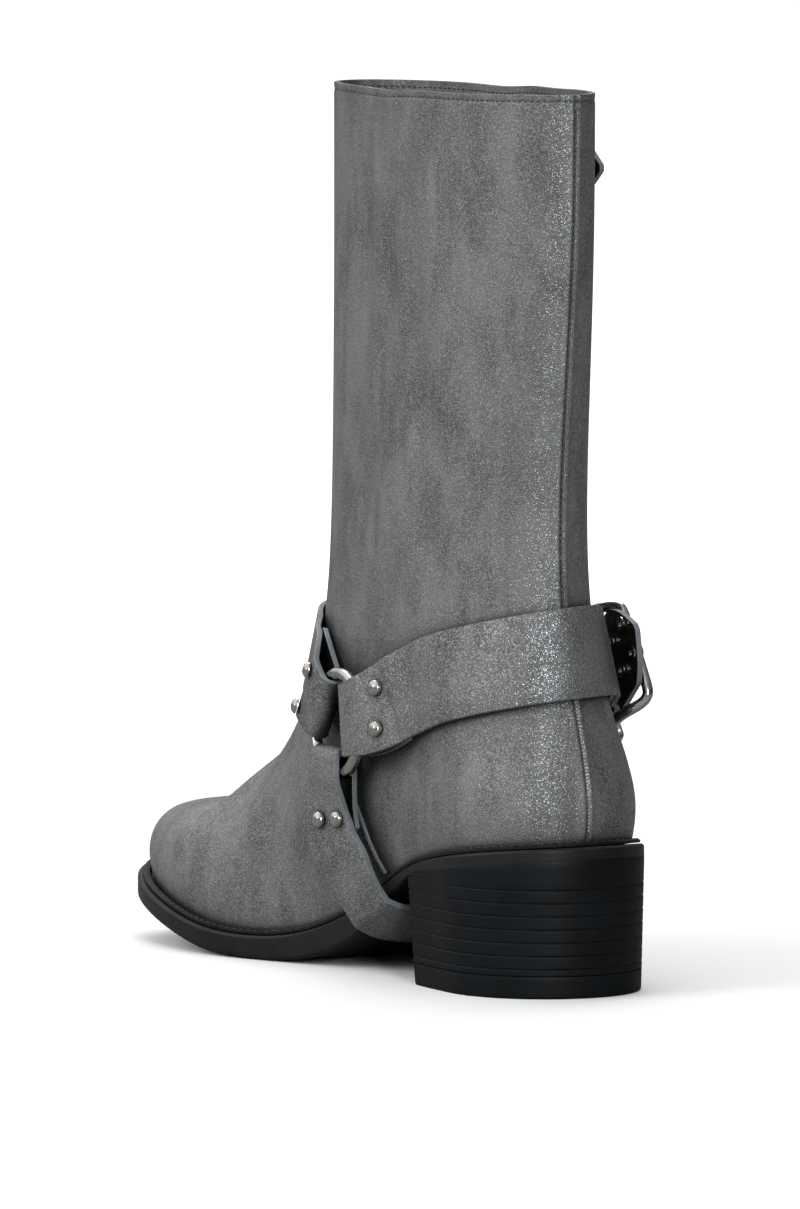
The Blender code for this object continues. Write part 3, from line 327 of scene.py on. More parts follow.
def leather_group():
    """Cloudy shades, fine grain and pearly flakes for all the grey leather."""
    tree, start, end = new_group(
        "pearl_leather",
        (("Light", "NodeSocketColor", grey(0.2)), ("Dark", "NodeSocketColor", grey(0.12)),
         ("Flake", "NodeSocketColor", grey(0.5)), ("Glints", "NodeSocketFloat", 0.5)),
        (("Color", "NodeSocketColor"), ("Roughness", "NodeSocketFloat"), ("Metal", "NodeSocketFloat"),
         ("Height", "NodeSocketFloat"), ("Normal", "NodeSocketVector")))
    place = add_node(tree, "ShaderNodeTexCoord").outputs["Object"]
    tone = brushed_tone(tree, place)
    fleck = noise(tree, place, SPECKLE_CELLS, 2.0, 0.6)
    speckle = cells(tree, place, SPECKLE_CELLS)
    luck = add_node(tree, "ShaderNodeSeparateColor")
    feed(tree, luck, Color=speckle.outputs["Color"])
    fine = maths(tree, "ADD", remap(tree, fleck, *FLECK_RANGE, 0.0, FLECK_SHARE),
                 maths(tree, "MULTIPLY", luck.outputs["Blue"], CELL_SHARE))
    colour = blend(tree, maths(tree, "ADD", tone, fine), start.outputs["Dark"], start.outputs["Light"])
    spark = remap(tree, luck.outputs["Red"], *SPARK_RANGE)
    metal = maths(tree, "MULTIPLY", spark, start.outputs["Glints"])
    colour = blend(tree, metal, colour, start.outputs["Flake"])
    grain = cells(tree, place, GRAIN_CELLS)
    pores = remap(tree, grain.outputs["Distance"], 0.0, 0.6)
    height = maths(tree, "ADD", maths(tree, "MULTIPLY", pores, 0.6), maths(tree, "MULTIPLY", fleck, 0.6))
    dull = remap(tree, fleck, 0.3, 0.7, *DULLNESS)
    rough = maths(tree, "SUBTRACT", dull, maths(tree, "MULTIPLY", spark, SPARK_POLISH))
    normal = shift_normal(tree, speckle.outputs["Color"], maths(tree, "MULTIPLY", spark, FLAKE_TILT))
    # Painted shade: the colour is darkened in the corners where pieces meet.
    colour = painted_corner_shade(tree, colour)
    for label, socket in (("Color", colour), ("Roughness", rough), ("Metal", metal), ("Height", height),
                          ("Normal", normal)):
        tree.links.new(socket, end.inputs[label])
    return tree


PEARL_LEATHER = leather_group()
print("leather group:", len(PEARL_LEATHER.nodes), "nodes")


# %% Leather of the upper and the straps
def new_material(name):
    material = bpy.data.materials.new(name)
    material.use_nodes = True
    return material, material.node_tree, material.node_tree.nodes["Principled BSDF"]


def bump(tree, shader, height, distance):
    item = add_node(tree, "ShaderNodeBump")
    feed(tree, item, Height=height, Distance=distance)
    tree.links.new(item.outputs["Normal"], shader.inputs["Normal"])
    return item


FLAKE = grey(0.55, -0.03)
LEATHER_GLOSS = 0.6
GRAIN_DEPTH = 0.16


def leather_material(name, light, dark, glints):
    """Grey leather with its own shades."""
    material, tree, shader = new_material(name)
    effect = add_node(tree, "ShaderNodeGroup")
    effect.node_tree = PEARL_LEATHER
    feed(tree, effect, Light=light, Dark=dark, Flake=FLAKE, Glints=glints)
    tree.links.new(effect.outputs["Color"], shader.inputs["Base Color"])
    shader.inputs["Specular IOR Level"].default_value = LEATHER_GLOSS
    tree.links.new(effect.outputs["Roughness"], shader.inputs["Roughness"])
    tree.links.new(effect.outputs["Metal"], shader.inputs["Metallic"])
    grain = bump(tree, shader, effect.outputs["Height"], GRAIN_DEPTH * MM)
    tree.links.new(effect.outputs["Normal"], grain.inputs["Normal"])
    return material


UPPER_LEATHER = leather_material("grey_upper", grey(0.128, 0.006), grey(0.017, 0.0), 0.36)
STRAP_LEATHER = leather_material("grey_strap", grey(0.110, 0.004), grey(0.015, -0.004), 0.54)
print("leathers:", UPPER_LEATHER.name, STRAP_LEATHER.name)

# %% [markdown]
# ## Plain finishes
# Lining, rubber, thread and edge paint are quieter. They share a second group: two close shades, an
# uneven gloss and a fine grain. Each finish then has its own colours, roughness, grain and depth, so
# that none of them is one flat colour.

# %% Satin group
SHADE_SIZE = 60.0
GLOSS_SPREAD = 0.06


def satin_group():
    """Two close shades, uneven gloss and a fine grain for all the plain finishes."""
    tree, start, end = new_group(
        "satin_finish",
        (("Light", "NodeSocketColor", grey(0.2)), ("Dark", "NodeSocketColor", grey(0.1)),
         ("Roughness", "NodeSocketFloat", 0.5), ("Grain", "NodeSocketFloat", 1000.0)),
        (("Color", "NodeSocketColor"), ("Roughness", "NodeSocketFloat"), ("Height", "NodeSocketFloat")))
    place = add_node(tree, "ShaderNodeTexCoord").outputs["Object"]
    fine = noise(tree, place, start.outputs["Grain"], 3.0, 0.6)
    broad = noise(tree, place, SHADE_SIZE, 3.0, 0.6)
    colour = blend(tree, remap(tree, broad, 0.35, 0.65), start.outputs["Dark"], start.outputs["Light"])
    uneven = remap(tree, fine, 0.3, 0.7, -GLOSS_SPREAD, GLOSS_SPREAD)
    rough = maths(tree, "ADD", start.outputs["Roughness"], uneven)
    for label, socket in (("Color", colour), ("Roughness", rough), ("Height", fine)):
        tree.links.new(socket, end.inputs[label])
    return tree


SATIN_FINISH = satin_group()
print("satin group:", len(SATIN_FINISH.nodes), "nodes")


# %% Edges, lining, rubber and thread
def plain_material(name, light, dark, roughness, grain, depth, gloss=0.5):
    """Satin finish with its own shades, gloss, grain in cells for each metre and depth in mm."""
    material, tree, shader = new_material(name)
    effect = add_node(tree, "ShaderNodeGroup")
    effect.node_tree = SATIN_FINISH
    feed(tree, effect, Light=light, Dark=dark, Roughness=roughness, Grain=grain)
    tree.links.new(effect.outputs["Color"], shader.inputs["Base Color"])
    tree.links.new(effect.outputs["Roughness"], shader.inputs["Roughness"])
    shader.inputs["Specular IOR Level"].default_value = gloss
    bump(tree, shader, effect.outputs["Height"], depth * MM)
    return material


STRAP_UNDERSIDE = plain_material("black_underside", grey(0.008, -0.05), grey(0.004), 0.42, 1500.0, 0.06, 0.3)
CUT_EDGE = plain_material("painted_edge", grey(0.19, -0.09), grey(0.13, -0.09), 0.5, 1800.0, 0.05)
SEAM_EDGE = plain_material("seam_edge", grey(0.42, -0.02), grey(0.16, -0.02), 0.5, 1400.0, 0.12)
SEAM_CORD = plain_material("seam_cord", grey(0.16, 0.02), grey(0.10, 0.02), 0.55, 1400.0, 0.12)
LINING = plain_material("grey_lining", grey(0.085), grey(0.05), 0.85, 2200.0, 0.10)
SOCK = plain_material("insole_sock", grey(0.07), grey(0.045), 0.8, 2000.0, 0.10)
HEEL_BLACK = plain_material("black_sole", grey(0.0062, -0.24), grey(0.004, -0.24), 0.5, 900.0, 0.04, 0.14)
SOLE_BLACK = plain_material("black_outsole", grey(0.011, -0.1), grey(0.007, -0.1), 0.45, 900.0, 0.04, 0.22)
WELT_BLACK = plain_material("black_welt", grey(0.007, -0.15), grey(0.003, -0.15), 0.5, 1200.0, 0.06, 0.18)
BLACK_THREAD = plain_material("black_thread", grey(0.012), grey(0.006), 0.55, 3000.0, 0.05)
print("materials so far:", len(bpy.data.materials))

# %% [markdown]
# ## Nickel
# Rings, rivets and buckle are plated and polished. Plating is never an even mirror, so a fine haze
# varies its colour and its roughness.

# %% Polished nickel
HAZE_SIZE = 700.0
NICKEL_DARK, NICKEL_LIGHT = (0.46, 0.445, 0.42, 1.0), (0.56, 0.54, 0.51, 1.0)
NICKEL_POLISH = (0.06, 0.14)


def nickel_material():
    material, tree, shader = new_material("polished_nickel")
    place = add_node(tree, "ShaderNodeTexCoord").outputs["Object"]
    haze = noise(tree, place, HAZE_SIZE, 3.0, 0.6)
    shader.inputs["Metallic"].default_value = 1.0
    colour = blend(tree, remap(tree, haze, 0.3, 0.7), NICKEL_DARK, NICKEL_LIGHT)
    tree.links.new(colour, shader.inputs["Base Color"])
    tree.links.new(remap(tree, haze, 0.3, 0.7, *NICKEL_POLISH), shader.inputs["Roughness"])
    bump(tree, shader, haze, 0.01 * MM)
    return material


NICKEL = nickel_material()
print("materials:", len(bpy.data.materials))

# %% [markdown]
# ## Upper
# The shaft, vamp and counter are one soft shell. The solid's grid is subdivided twice, which keeps the
# lapped vamp and the ridge up the back. Extra edges below the collar, cut by bisect, hold its rim in
# shape, and the inner faces next to the rim get the leather, because it is turned over there.

# %% Smooth shell with lining
COLLAR_BACK = Vector((0.0, -20.8 * MM, 294.3 * MM))
COLLAR_FRONT = Vector((0.0, 123.6 * MM, 293.3 * MM))
COLLAR_LOOPS = (16.0, 9.0, 3.4, 2.2, 1.2)
FACING = 18.0
UPPER_CREASE = 55.0
LEVELS = 2


def cut_loop(piece, below):
    """New edges round the shaft at a distance below its collar."""
    only(piece)
    bpy.ops.object.mode_set(mode="EDIT")
    bpy.ops.mesh.select_all(action="SELECT")
    slope = COLLAR_FRONT - COLLAR_BACK
    bpy.ops.mesh.bisect(plane_co=COLLAR_BACK - Vector((0.0, 0.0, below * MM)),
                        plane_no=Vector((0.0, -slope.z, slope.y)))
    bpy.ops.object.mode_set(mode="OBJECT")


upper = copy_node("upper", "boot_upper")
sort_skins(upper, (1.0, 0.0, 0.0))
for below in COLLAR_LOOPS:
    cut_loop(upper, below)
crease_edges(upper, UPPER_CREASE)
smooth_form(upper, LEVELS)
for finish in (UPPER_LEATHER, LINING, UPPER_LEATHER):
    upper.data.materials.append(finish)
for face in upper.data.polygons:
    if face.material_index == INNER and face.center.z > COLLAR_FRONT.z - FACING * MM:
        face.material_index = RIM
print("upper:", len(upper.data.polygons), "faces")

# %% [markdown]
# ## Soft folds
# A soft shaft dents and waves where it is handled. Each fold is a trough or ridge placed one by one, with
# its own place, size and depth, because an even noise never looks like leather that has been worn. Both
# skins of the wall move together, so that the wall keeps its thickness.

# %% Folds of the shaft and waves of the rim
# Each fold: direction round the shaft in degrees from straight back (positive to the inner side),
# middle height, half width round the shaft, half height, lean of its foot and depth, all in mm.
FOLD_COLUMNS = ("turn", "z", "half_width", "half_height", "lean", "depth")
FOLDS = (
    (146.0, 250.0, 5.0, 42.0, 3.0, 0.7),
    (128.0, 232.0, 4.5, 48.0, -4.0, -0.7),
    (112.0, 246.0, 5.0, 36.0, 5.0, 0.8),
    (96.0, 222.0, 5.5, 46.0, -6.0, -0.8),
    (80.0, 240.0, 5.0, 40.0, 6.0, 0.8),
    (64.0, 214.0, 6.0, 44.0, 8.0, -0.8),
    (50.0, 238.0, 5.0, 38.0, 4.0, 0.6),
    (120.0, 160.0, 7.0, 26.0, 8.0, -0.8),
    (84.0, 156.0, 8.0, 24.0, -8.0, 0.8),
    (54.0, 148.0, 7.0, 22.0, 8.0, -0.8),
    (-52.0, 236.0, 5.0, 42.0, -4.0, 0.7),
    (-74.0, 218.0, 6.0, 46.0, 6.0, -0.8),
    (-98.0, 240.0, 5.0, 40.0, -5.0, 0.8),
    (-122.0, 226.0, 5.0, 46.0, 5.0, -0.7),
    (-142.0, 246.0, 5.0, 40.0, -3.0, 0.7),
    (-116.0, 158.0, 7.0, 26.0, -8.0, -0.8),
    (-82.0, 154.0, 8.0, 24.0, 8.0, 0.8),
)
# Waves of the collar's rim: direction, half width in degrees and rise in mm, fading out below the rim.
RIM_WAVES = ((108.0, 24.0, -0.5), (30.0, 18.0, -0.3), (-58.0, 22.0, -0.4), (-122.0, 24.0, -0.8))
WAVE_REACH = 40.0
SHAFT_AXIS = 51.0
SHAFT_FROM, SHAFT_FULL = 116.0, 140.0
FOLD_STRENGTH = 1.5


def fold_shift(turn, z, radius):
    """How far out the folds move points of the shaft, from directions, heights and radii in mm."""
    shift = np.zeros(len(turn))
    for row in FOLDS:
        fold = dict(zip(FOLD_COLUMNS, row))
        up = (z - fold["z"]) / fold["half_height"]
        away = (turn - fold["turn"] + 180.0) % 360.0 - 180.0
        along = np.radians(away) * radius - fold["lean"] * up
        shift += fold["depth"] * np.exp(-(along / fold["half_width"]) ** 2 - up ** 2)
    return shift


def rim_wave(turn):
    """How far the collar's rim rises at directions in degrees."""
    return sum(rise * np.exp(-((turn - middle) / half) ** 2) for middle, half, rise in RIM_WAVES)


def fold_upper(piece):
    """Move the wall in and out for the folds, the same way on both of its skins."""
    count = len(piece.data.vertices)
    points = np.empty(count * 3)
    piece.data.vertices.foreach_get("co", points)
    points = points.reshape(-1, 3) / MM
    away = points[:, :2] - np.array((0.0, SHAFT_AXIS))
    radius = np.maximum(np.linalg.norm(away, axis=1), 1.0)
    turn = np.degrees(np.arctan2(-away[:, 0], -away[:, 1]))
    share = np.clip((points[:, 2] - SHAFT_FROM) / (SHAFT_FULL - SHAFT_FROM), 0.0, 1.0)
    ease = share * share * (3.0 - 2.0 * share)
    shift = FOLD_STRENGTH * fold_shift(turn, points[:, 2], radius) * ease
    points[:, :2] += away / radius[:, None] * shift[:, None]
    near_rim = np.clip((points[:, 2] - COLLAR_FRONT.z / MM) / WAVE_REACH + 1.0, 0.0, 1.0)
    points[:, 2] += rim_wave(turn) * near_rim ** 2
    piece.data.vertices.foreach_set("co", (points * MM).ravel())
    piece.data.update()
    print("deepest fold %.2f mm, highest %.2f mm" % (shift.min(), shift.max()))


fold_upper(upper)

# %% [markdown]
# ## Seams and the crease of the vamp
# The back seam is a groove beside a raised lap, and the collar has a shallow groove for its stitches.
# Where the foot bends, a ridge and a trough run across the inner side of the vamp. All of them move
# points along their own normals, by a bell curve of the distance from a line.

# %% Back seam, collar groove and vamp crease
# The seam has a groove with the stitches in it and a raised lap beside it, both as distances from the
# middle of the heel, half widths and rises in mm. The collar's groove is a distance below its rim.
SEAM_GROOVE = (-0.9, 0.55, -0.7)
SEAM_LAP = (0.5, 0.8, 0.3)
COLLAR_GROOVE = (2.2, 0.6, -0.25)
SEAM_ZONE = 6.0
RIM_EDGE = 0.5
# The crease where the forefoot bends: a ridge and a trough ahead of it, as lines of places in mm.
VAMP_RIDGE = ((-10.0, 152.0, 60.0), (-23.0, 159.0, 52.0), (-27.8, 165.1, 47.0), (-32.2, 167.5, 43.0),
              (-37.0, 173.0, 36.0))
VAMP_TROUGH = ((-4.0, 163.0, 58.0), (-18.0, 168.0, 51.0), (-24.0, 172.0, 47.5), (-30.0, 176.0, 43.0))
RIDGE_SHAPE = (0.0, 5.0, 2.4)
TROUGH_SHAPE = (0.0, 5.0, -2.6)


def line_distance(points, line):
    """Distance of each point from a line of straight pieces."""
    nearest = np.full(len(points), np.inf)
    for start, end in zip(np.array(line[:-1]), np.array(line[1:])):
        along = end - start
        share = np.clip((points - start) @ along / (along @ along), 0.0, 1.0)
        nearest = np.minimum(nearest, np.linalg.norm(points - start - share[:, None] * along, axis=1))
    return nearest


def bell(value, middle, half, rise):
    return rise * np.exp(-((value - middle) / half) ** 2)


def rim_height(y):
    """Height of the collar's rim in mm at a place along the boot."""
    ends = np.array((COLLAR_BACK, COLLAR_FRONT)) / MM
    return np.interp(y, ends[:, 1], ends[:, 2])


def press_seams(piece):
    """Press the seams into the outer skin and bend both skins at the vamp's crease."""
    mesh = piece.data
    places = np.array([vertex.co for vertex in mesh.vertices]) / MM
    normals = np.array([vertex.normal for vertex in mesh.vertices])
    outside = np.zeros(len(places))
    for face in mesh.polygons:
        if face.material_index == OUTER:
            outside[list(face.vertices)] = 1.0
    x, y, z = places.T
    at_back = (y < SHAFT_AXIS / 2.0) & (np.abs(x) < SEAM_ZONE)
    turn = np.degrees(np.arctan2(-x, SHAFT_AXIS - y))
    press = bell(rim_height(y) + rim_wave(turn) - z, *COLLAR_GROOVE)
    press += at_back * (bell(x, *SEAM_GROOVE) + bell(x, *SEAM_LAP))
    bend = bell(line_distance(places, VAMP_RIDGE), *RIDGE_SHAPE)
    bend += bell(line_distance(places, VAMP_TROUGH), *TROUGH_SHAPE)
    both_skins = 2.0 * outside - 1.0
    places += normals * (outside * press + both_skins * bend)[:, None]
    mesh.vertices.foreach_set("co", (places * MM).ravel())
    mesh.update()
    print("seams pressed in up to %.2f mm" % -press.min())


press_seams(upper)
ease_edges(upper, RIM_EDGE * MM)
shade(upper)
keep(upper, "grey_leather", "upper")

# %% [markdown]
# ## Straps
# Each strap is cut leather: grey on its face, black on its back, with a painted edge that catches the
# light. The three skins are sorted on the coarse copy, so that the materials follow through the
# subdivision, and a fine bevel breaks the corners of the cut.

# %% Straps of the harness
STRAPS = {
    "front_strap": (0.0, 1.0, 0.0),
    "arch_strap": (0.0, 0.0, -1.0),
    "heel_strap": (0.0, -1.0, 0.0),
    "buckle_strap": (1.0, 0.0, 0.0),
    "collar_strap": (1.0, 0.0, 0.0),
}
STRAP_CREASE = 31.0
STRAP_EDGE, STRAP_EDGE_ANGLE = 0.3, 50.0
for node, outside in STRAPS.items():
    strap = copy_node(node, "leather_" + node)
    sort_skins(strap, outside)
    for finish in (STRAP_LEATHER, STRAP_UNDERSIDE, CUT_EDGE):
        strap.data.materials.append(finish)
    crease_edges(strap, STRAP_CREASE)
    smooth_form(strap, LEVELS)
    ease_edges(strap, STRAP_EDGE * MM, STRAP_EDGE_ANGLE)
    shade(strap)
    keep(strap, "strap_leather", node)

# %% [markdown]
# ## Sole, welt and heel
# These are firm pieces with crisp edges. Their outlines are smoothed by subdivision while creases hold
# every edge and every groove of the heel, and a fine bevel breaks the edges so that they show light.
# The heel's top is raised a little into the sole, because the glue line between them lets no light in.

# %% Firm pieces under the foot
# Each piece: node, name, finish, slot and width of its broken edge in mm.
FIRM = (
    ("outsole", "moulded_outsole", SOLE_BLACK, "black_rubber", 0.25),
    ("heel_stack", "stacked_heel", HEEL_BLACK, "black_rubber", 0.12),
    ("heel_top_lift", "heel_lift", HEEL_BLACK, "black_rubber", 0.35),
    ("welt", "stitched_welt", WELT_BLACK, "welt_leather", 0.3),
    ("insole", "sock_insole", SOCK, "insole_leather", 0.4),
)
FIRM_SHARP = 28.0
FIRM_SMOOTH = 35.0
HEEL_TOP = 30.0
HEEL_JOIN = 0.6
FACES_UP = 0.6


def close_top(piece):
    """Raise the heel's top into the sole, so that no light shows between them."""
    pick_faces(piece, lambda face: face.normal.z > FACES_UP and face.center.z > HEEL_TOP * MM)
    bpy.ops.transform.translate(value=(0.0, 0.0, HEEL_JOIN * MM))
    bpy.ops.object.mode_set(mode="OBJECT")


for node, name, finish, slot, edge in FIRM:
    piece = copy_node(node, name)
    piece.data.materials.append(finish)
    if node == "heel_stack":
        close_top(piece)
    crease_edges(piece, FIRM_SHARP)
    smooth_form(piece, LEVELS)
    ease_edges(piece, edge * MM, FIRM_SHARP)
    shade(piece, FIRM_SMOOTH)
    keep(piece, slot, node)

# %% [markdown]
# ## Rings
# The rings are bent wire, so each one starts as a torus at the place, size and slope of its solid. It
# then gets the small groove of the weld where the wire's ends meet.

# %% Rings
WELD_WIDTH = 1.0
WELD_DEPTH = 0.15
RING_SEGMENTS, WIRE_SEGMENTS = 96, 20


def ring_shape(node):
    """Centre, axis, radius and wire radius of a ring, measured on its solid."""
    points = np.array([vertex.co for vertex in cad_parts[node].data.vertices])
    centre = np.unique(points.round(6), axis=0).mean(axis=0)
    axis = np.linalg.svd(points - centre)[2][2]
    rise = (points - centre) @ axis
    reach = np.linalg.norm((points - centre) - np.outer(rise, axis), axis=1)
    wire = (reach.max() - reach.min()) / 2.0
    return Vector(centre), Vector(axis), reach.min() + wire, wire


def press_weld(ring, centre, axis):
    """Shallow groove round the wire at the top of a ring, where its ends are welded."""
    across = Vector((0.0, 0.0, 1.0)).cross(axis).normalized()
    up = axis.cross(across) if axis.cross(across).z > 0.0 else across.cross(axis)

    def at_weld(face):
        place = face.center - centre
        return place.dot(up) > 0.0 and abs(place.dot(across)) < WELD_WIDTH * MM

    pick_faces(ring, at_weld)
    bpy.ops.transform.shrink_fatten(value=-WELD_DEPTH * MM)
    bpy.ops.object.mode_set(mode="OBJECT")


for side in ("inner", "outer"):
    centre, axis, radius, wire = ring_shape("ring_" + side)
    bpy.ops.object.select_all(action="DESELECT")
    bpy.ops.mesh.primitive_torus_add(major_segments=RING_SEGMENTS, minor_segments=WIRE_SEGMENTS,
                                     major_radius=radius, minor_radius=wire)
    ring = bpy.context.object
    ring.name = "harness_ring_" + side
    ring.location = centre
    ring.rotation_mode = "QUATERNION"
    ring.rotation_quaternion = axis.to_track_quat("Z", "Y")
    bpy.ops.object.transform_apply(location=True, rotation=True, scale=True)
    press_weld(ring, centre, axis)
    ring.data.materials.append(NICKEL)
    shade(ring)
    keep(ring, "nickel", "ring_" + side)

# %% [markdown]
# ## Rivets, eyelets and buckle
# This metal is stamped or cast, and keeps its solid's shape, rounded by subdivision. A subdivided tube
# shrinks, so each piece is fattened a little first.

# %% Rivets, eyelets and buckle
FATTER = {"buckle_frame": 0.19, "buckle_bar": 0.1, "prong_upper": 0.1, "prong_lower": 0.1}
FATTER_OTHERS = 0.08
METAL_SHARP = 70.0
METAL_SMOOTH = 60.0
METAL_NAMES = ("rivet", "eyelet", "prong", "buckle_frame", "buckle_bar")
METAL = [node for node in sorted(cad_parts) if node.startswith(METAL_NAMES)]
for node in METAL:
    piece = copy_node(node, "metal_" + node)
    only(piece)
    bpy.ops.object.mode_set(mode="EDIT")
    bpy.ops.mesh.select_all(action="SELECT")
    bpy.ops.transform.shrink_fatten(value=FATTER.get(node, FATTER_OTHERS) * MM)
    bpy.ops.object.mode_set(mode="OBJECT")
    crease_edges(piece, METAL_SHARP)
    smooth_form(piece, LEVELS)
    piece.data.materials.append(NICKEL)
    shade(piece, METAL_SMOOTH)
    keep(piece, "nickel", node)

# %% [markdown]
# ## Stitches
# Thread shows as short, plump stitches with a small gap between them. Each row models one stitch, as a
# stretched ball with few faces, and copies it along a line that is found on the finished surface.

# %% One stitch and rows of it
STITCH_SEGMENTS, STITCH_RINGS = 8, 6
STITCH_FLAT = 0.8
STITCH_SINK = 0.1
LOOK_AHEAD = 0.2


def surface_tree(piece):
    """Search tree of a piece's faces."""
    return BVHTree.FromPolygons([vertex.co for vertex in piece.data.vertices],
                                [face.vertices for face in piece.data.polygons])


def spaced(points, step, closed=False):
    """Points at even steps along a line, with its direction at each."""
    points = np.array(points)
    if closed:
        points = np.vstack((points, points[:1]))
    lengths = np.concatenate(([0.0], np.cumsum(np.linalg.norm(np.diff(points, axis=0), axis=1))))
    count = max(2, int(lengths[-1] / step))
    places = (np.arange(count) + 0.5) * lengths[-1] / count
    found = np.column_stack([np.interp(places, lengths, points[:, k]) for k in range(3)])
    reach = LOOK_AHEAD * step
    after = np.column_stack([np.interp(places + reach, lengths, points[:, k]) for k in range(3)])
    before = np.column_stack([np.interp(places - reach, lengths, points[:, k]) for k in range(3)])
    along = after - before
    return found, along / np.linalg.norm(along, axis=1)[:, None]


def stitch_row(name, places, directions, normals, length, thick, finish, slot):
    """Row of stitches as one piece."""
    bpy.ops.object.select_all(action="DESELECT")
    bpy.ops.mesh.primitive_uv_sphere_add(segments=STITCH_SEGMENTS, ring_count=STITCH_RINGS, radius=0.5)
    one = bpy.context.object
    one.scale = (thick, thick * STITCH_FLAT, length)
    bpy.ops.object.transform_apply(scale=True)
    shape = np.array([vertex.co for vertex in one.data.vertices])
    faces = [tuple(face.vertices) for face in one.data.polygons]
    bpy.data.objects.remove(one, do_unlink=True)
    points, polygons = [], []
    for place, along, normal in zip(places, directions, normals):
        side = np.cross(along, normal)
        side = side / np.linalg.norm(side)
        up = np.cross(side, along)
        polygons += [tuple(index + len(points) * len(shape) for index in face) for face in faces]
        points.append(place + shape[:, :1] * side + shape[:, 1:2] * up + shape[:, 2:] * along)
    mesh = bpy.data.meshes.new(name)
    mesh.from_pydata(np.vstack(points).tolist(), [], polygons)
    row = bpy.data.objects.new(name, mesh)
    bpy.context.scene.collection.objects.link(row)
    only(row)
    bpy.ops.object.mode_set(mode="EDIT")
    bpy.ops.mesh.select_all(action="SELECT")
    bpy.ops.mesh.normals_make_consistent(inside=False)
    bpy.ops.object.mode_set(mode="OBJECT")
    row.data.materials.append(finish)
    shade(row)
    keep(row, slot)


def on_surface(tree, origins, directions, sink):
    """Points where rays meet a surface, sunk in a little."""
    places = []
    for origin, direction in zip(origins, directions):
        found, normal = tree.ray_cast(Vector(origin), Vector(direction))[:2]
        if found is not None:
            places.append(np.array(found) - np.array(normal) * sink)
    return np.array(places)


def sewn_line(name, tree, origins, directions, stitch, finish, slot, closed=False):
    """Find a line on a surface and sew it. A stitch is its step, length and thickness in mm."""
    step, length, thick = (size * MM for size in stitch)
    line = on_surface(tree, origins, directions, STITCH_SINK * thick)
    places, along = spaced(line, step, closed)
    normals = [np.array(tree.find_nearest(Vector(place))[1]) for place in places]
    stitch_row(name, places, along, normals, length, thick, finish, slot)


# %% [markdown]
# ## Stitches of the upper
# A row runs round the collar, outside and in. Up the back, black thread lies in the groove of the
# shaft's seam, and below the strap a coarse pale thread closes the counter. Rays find each row on the
# finished leather, so the stitches follow its folds.

# %% Rows round the collar
COLLAR_STITCH = (2.2, 1.6, 0.45)
SHAFT_HALF = 72.0
upper_tree = surface_tree(upper)
turns = np.radians(np.arange(0.0, 360.0, 2.0))
around = np.column_stack((np.sin(turns), np.cos(turns), np.zeros(len(turns))))
row_turns = np.degrees(np.arctan2(-np.sin(turns), -np.cos(turns)))
row_heights = rim_height(SHAFT_AXIS + SHAFT_HALF * np.cos(turns)) + rim_wave(row_turns) - COLLAR_GROOVE[0]
axis_points = np.column_stack((np.zeros(len(turns)), np.full(len(turns), SHAFT_AXIS), row_heights)) * MM
for name, start, way in (("collar_stitches", 0.2, -1.0), ("collar_stitches_inside", 0.0, 1.0)):
    sewn_line(name, upper_tree, axis_points + start * around, way * around, COLLAR_STITCH, BLACK_THREAD,
              "grey_leather", closed=True)

# %% Rows up the back
SHAFT_STITCH = (2.1, 1.5, 0.6)
COUNTER_STITCH = (1.15, 0.95, 0.75)
COUNTER_ROW = SEAM_LAP[0] - 0.9
STRAP_TOP = 120.0
SEAM_TOP, SEAM_FOOT, SEAM_STEP = 290.0, 53.0, 2.0
FAR_BEHIND = -0.2
heights = np.arange(SEAM_TOP, SEAM_FOOT, -SEAM_STEP) * MM
ahead = np.tile((0.0, 1.0, 0.0), (len(heights), 1))


def behind_boot(x):
    """Points behind the boot at a distance beside the middle of the heel, one at each height."""
    return np.column_stack((np.full(len(heights), x * MM), np.full(len(heights), FAR_BEHIND), heights))


shaft = heights > STRAP_TOP * MM
sewn_line("back_seam_stitches", upper_tree, behind_boot(SEAM_GROOVE[0])[shaft], ahead[shaft], SHAFT_STITCH,
          BLACK_THREAD, "grey_leather")
sewn_line("counter_seam_stitches", upper_tree, behind_boot(COUNTER_ROW)[~shaft], ahead[~shaft],
          COUNTER_STITCH, SEAM_EDGE, "grey_leather")

# %% [markdown]
# ## Raised edges of the seams
# Where one panel laps over another, its cut edge shows as a thin, light line. Each line is a fine curve
# with a round section that is half sunk in the leather, made a mesh at the end.

# %% Light edges beside the back seam and along the vamp
BACK_EDGE = SEAM_LAP[0] - 0.7
BACK_BEAD, BACK_SINK = 0.36, 0.12
VAMP_BEAD, VAMP_SINK = 0.95, 0.1
VAMP_STATIONS = 30
FAR_BESIDE = 0.2
# The vamp's edge on the side of the boot, as places along it and heights in mm.
VAMP_EDGE = ((57.5, 34.3), (61.6, 38.8), (65.6, 44.3), (69.0, 51.3), (72.8, 58.3), (75.4, 64.3))


def seam_bead(name, line, radius, finish):
    """Thin round edge along a line on the upper."""
    curve = bpy.data.curves.new(name, "CURVE")
    curve.dimensions = "3D"
    curve.bevel_depth = radius
    curve.bevel_resolution = 2
    curve.use_fill_caps = True
    spline = curve.splines.new("POLY")
    spline.points.add(len(line) - 1)
    for point, place in zip(spline.points, line):
        point.co = (*place, 1.0)
    bead = bpy.data.objects.new(name, curve)
    bpy.context.scene.collection.objects.link(bead)
    only(bead)
    bpy.ops.object.convert(target="MESH")
    bead.data.materials.append(finish)
    shade(bead)
    keep(bead, "grey_leather")


